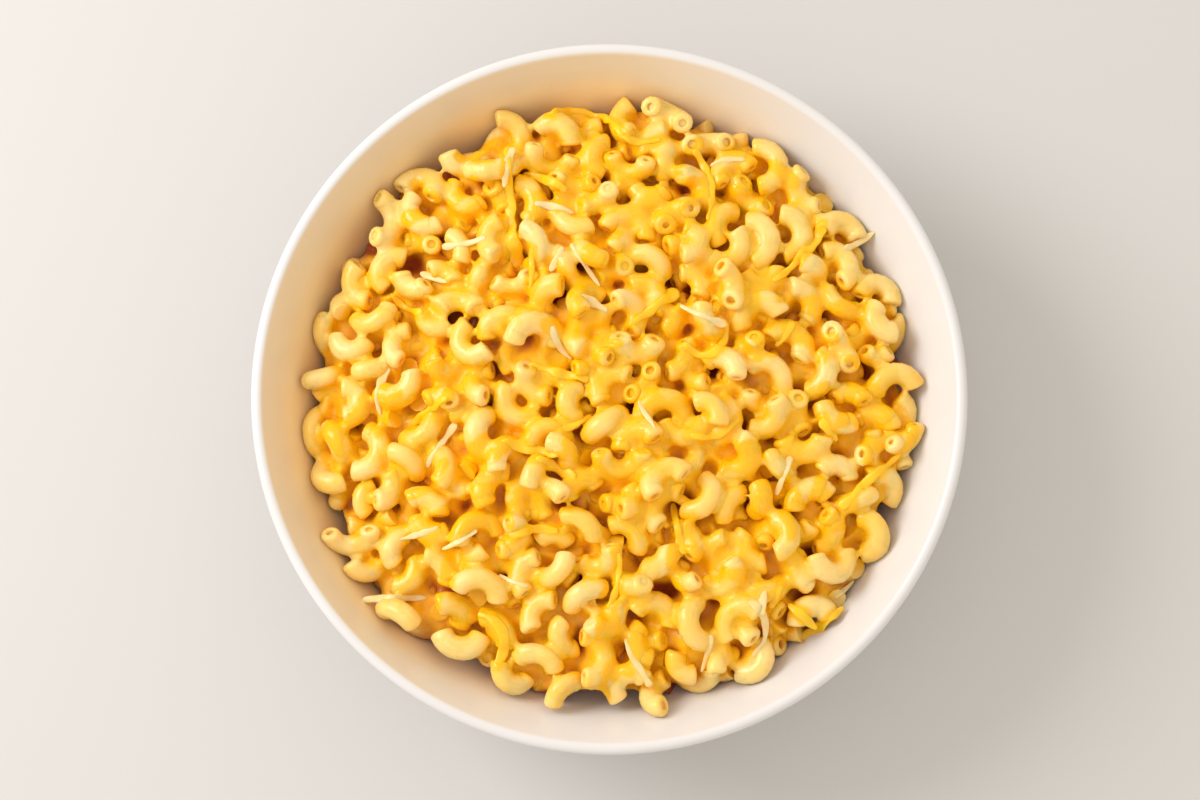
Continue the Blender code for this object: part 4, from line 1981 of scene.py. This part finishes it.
WHITE_STRANDS = (
    Strand(-8.0, 42.0, -56.0, 16.0, 5.0),
    Strand(-54.0, -16.0, 56.0, 17.0, -12.0),
    Strand(-69.0, -65.0, 2.0, 21.0, -6.0),
    Strand(-47.0, 50.0, 10.0, 15.0, 12.0),
    Strand(-18.0, 62.0, -12.0, 13.0, -10.0),
    Strand(48.0, -75.0, 95.0, 21.0, 120.0),
    Strand(9.0, -86.0, -63.0, 17.0, 15.0),
    Strand(82.0, 52.0, 30.0, 12.0, 8.0),
    Strand(-74.0, 2.0, 80.0, 17.0, -60.0),
    Strand(30.0, 25.0, -24.0, 16.0, 20.0),
    Strand(12.0, -7.0, -65.0, 11.0, 10.0),
    Strand(39.0, 78.0, 10.0, 12.0, -35.0),
    Strand(56.0, -26.0, 70.0, 13.0, 5.0),
    Strand(76.0, -62.0, 42.0, 9.0, 20.0),
    Strand(-33.0, 75.0, 78.0, 14.0, -10.0),
    Strand(-61.0, -45.0, 15.0, 13.0, 12.0),
    Strand(-48.0, -47.0, 28.0, 13.0, 10.0),
    Strand(31.0, -83.0, 78.0, 12.0, 20.0),
    Strand(-57.0, 39.0, -22.0, 10.0, 10.0),
    Strand(-5.0, 29.0, -30.0, 9.0, 0.0),
    Strand(-16.0, 16.0, -58.0, 12.0, 50.0),
    Strand(-31.0, -60.0, -23.0, 11.0, 15.0),
    Strand(49.0, -67.0, 78.0, 8.0, 0.0),
    Strand(-17.0, 44.0, 60.0, 9.0, 20.0),
)

CHEDDAR_SHREDS = Shreds(
    "cheddar_shreds",
    CHEDDAR_STRANDS,
    width=2.9 * MM,
    thickness=1.1 * MM,
    sink=0.65 * MM,
    sag=0.09 * MM,
    seed=5,
)

WHITE_SHREDS = Shreds(
    "white_cheese_shreds",
    WHITE_STRANDS,
    width=2.1 * MM,
    thickness=0.75 * MM,
    sink=0.38 * MM,
    sag=0.06 * MM,
    seed=6,
)

CHEDDAR = ShredFinish(
    "melted_cheddar",
    colour=(0.97, 0.58, 0.008, 1.0),
    shade=(0.97, 0.50, 0.004, 1.0),
    roughness=0.32,
    through=0.35,
)

WHITE_CHEESE = ShredFinish(
    "white_cheese",
    colour=(0.87, 0.67, 0.34, 1.0),
    shade=(0.89, 0.60, 0.22, 1.0),
    roughness=0.34,
    through=0.5,
)


def melted_strands(heap: Heap, pools: int = 28, each: int = 4) -> list[Strand]:
    """Strews pools of strands that have melted together over the heap.

    Args:
        heap: the rule of the heap, for its radius.
        pools: how many pools there are.
        each: how many strands melted into each.

    Returns:
        The strands.
    """
    seed, reach, spread, lengths = 23, 0.92, 8.0, (7.0, 22.0)
    most_sideways, most_off, most_turn = 0.4, 40.0, 80.0
    draw = np.random.RandomState(seed)
    strands = []
    for pool in range(pools):
        out = reach * heap.radius / MM * math.sqrt((pool + 0.5) / pools)
        angle = pool * heap.golden_angle + draw.uniform(-most_sideways, most_sideways)
        heading = draw.uniform(0.0, 360.0)
        for _ in range(each):
            x = out * math.cos(angle) + draw.uniform(-spread, spread)
            y = out * math.sin(angle) + draw.uniform(-spread, spread)
            length, turn = draw.uniform(*lengths), draw.uniform(-most_turn, most_turn)
            strands.append(Strand(x, y, heading + draw.uniform(-most_off, most_off), length, turn))
    return strands


def surface_of(*pieces: bpy.types.Object) -> BVHTree:
    """Gathers the surfaces of some pieces, for things to lie on.

    Args:
        pieces: the pieces.

    Returns:
        A tree of all their faces.
    """
    whole = bmesh.new()
    for piece in pieces:
        whole.from_mesh(piece.data)
    tree = BVHTree.FromBMesh(whole)
    whole.free()
    return tree


def attached(piece: bpy.types.Object, node: str | None = None) -> None:
    """Rides a piece on the one body, hides the CAD node that it replaces, and logs its size.

    Args:
        piece: the finished piece.
        node: the CAD node that it replaces, if any.
    """
    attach(piece, "root")
    if node:
        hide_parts(node)
    LOG.info("%s: %d vertices, %d faces", piece.name, len(piece.data.vertices), len(piece.data.polygons))


def main() -> None:
    """Builds the bowl, the heap and the studio."""
    logging.basicConfig(level=logging.INFO, format="%(message)s")
    effects = Effects()
    pasta = PastaFinish("cooked_pasta").made(effects)
    sauce = PastaFinish("cheese_sauce").made(effects)

    bowl = Bowl.from_frame("bowl")
    dish = bowl.built(GlazeFinish().made(effects))
    attached(dish, "bowl")

    heap = Heap(bowl)
    elbows = heap.laid()
    skyline = Skyline.over(elbows, heap)
    macaroni = Macaroni()
    melts = MeltedCheddar.along(melted_strands(heap) + list(CHEDDAR_STRANDS), skyline)
    loose = macaroni.built(elbows, skyline, melts, pasta)
    coat = CheeseSauce().built(elbows, heap, macaroni, skyline, melts, sauce)
    core = Core().built(bowl, heap, sauce)
    for piece in (loose, coat, core):
        attached(piece, "macaroni_and_cheese")

    under = surface_of(dish, loose, coat)
    for shreds, finish in ((CHEDDAR_SHREDS, CHEDDAR), (WHITE_SHREDS, WHITE_CHEESE)):
        attached(shreds.built(under, finish.made(effects)))

    studio = Studio(rim_height=bowl.height)
    studio.floor(TableFinish().made(effects))
    studio.key()
    studio.sky_light()
    studio.camera()
    studio.exposure()


if __name__ == "__main__":
    main()
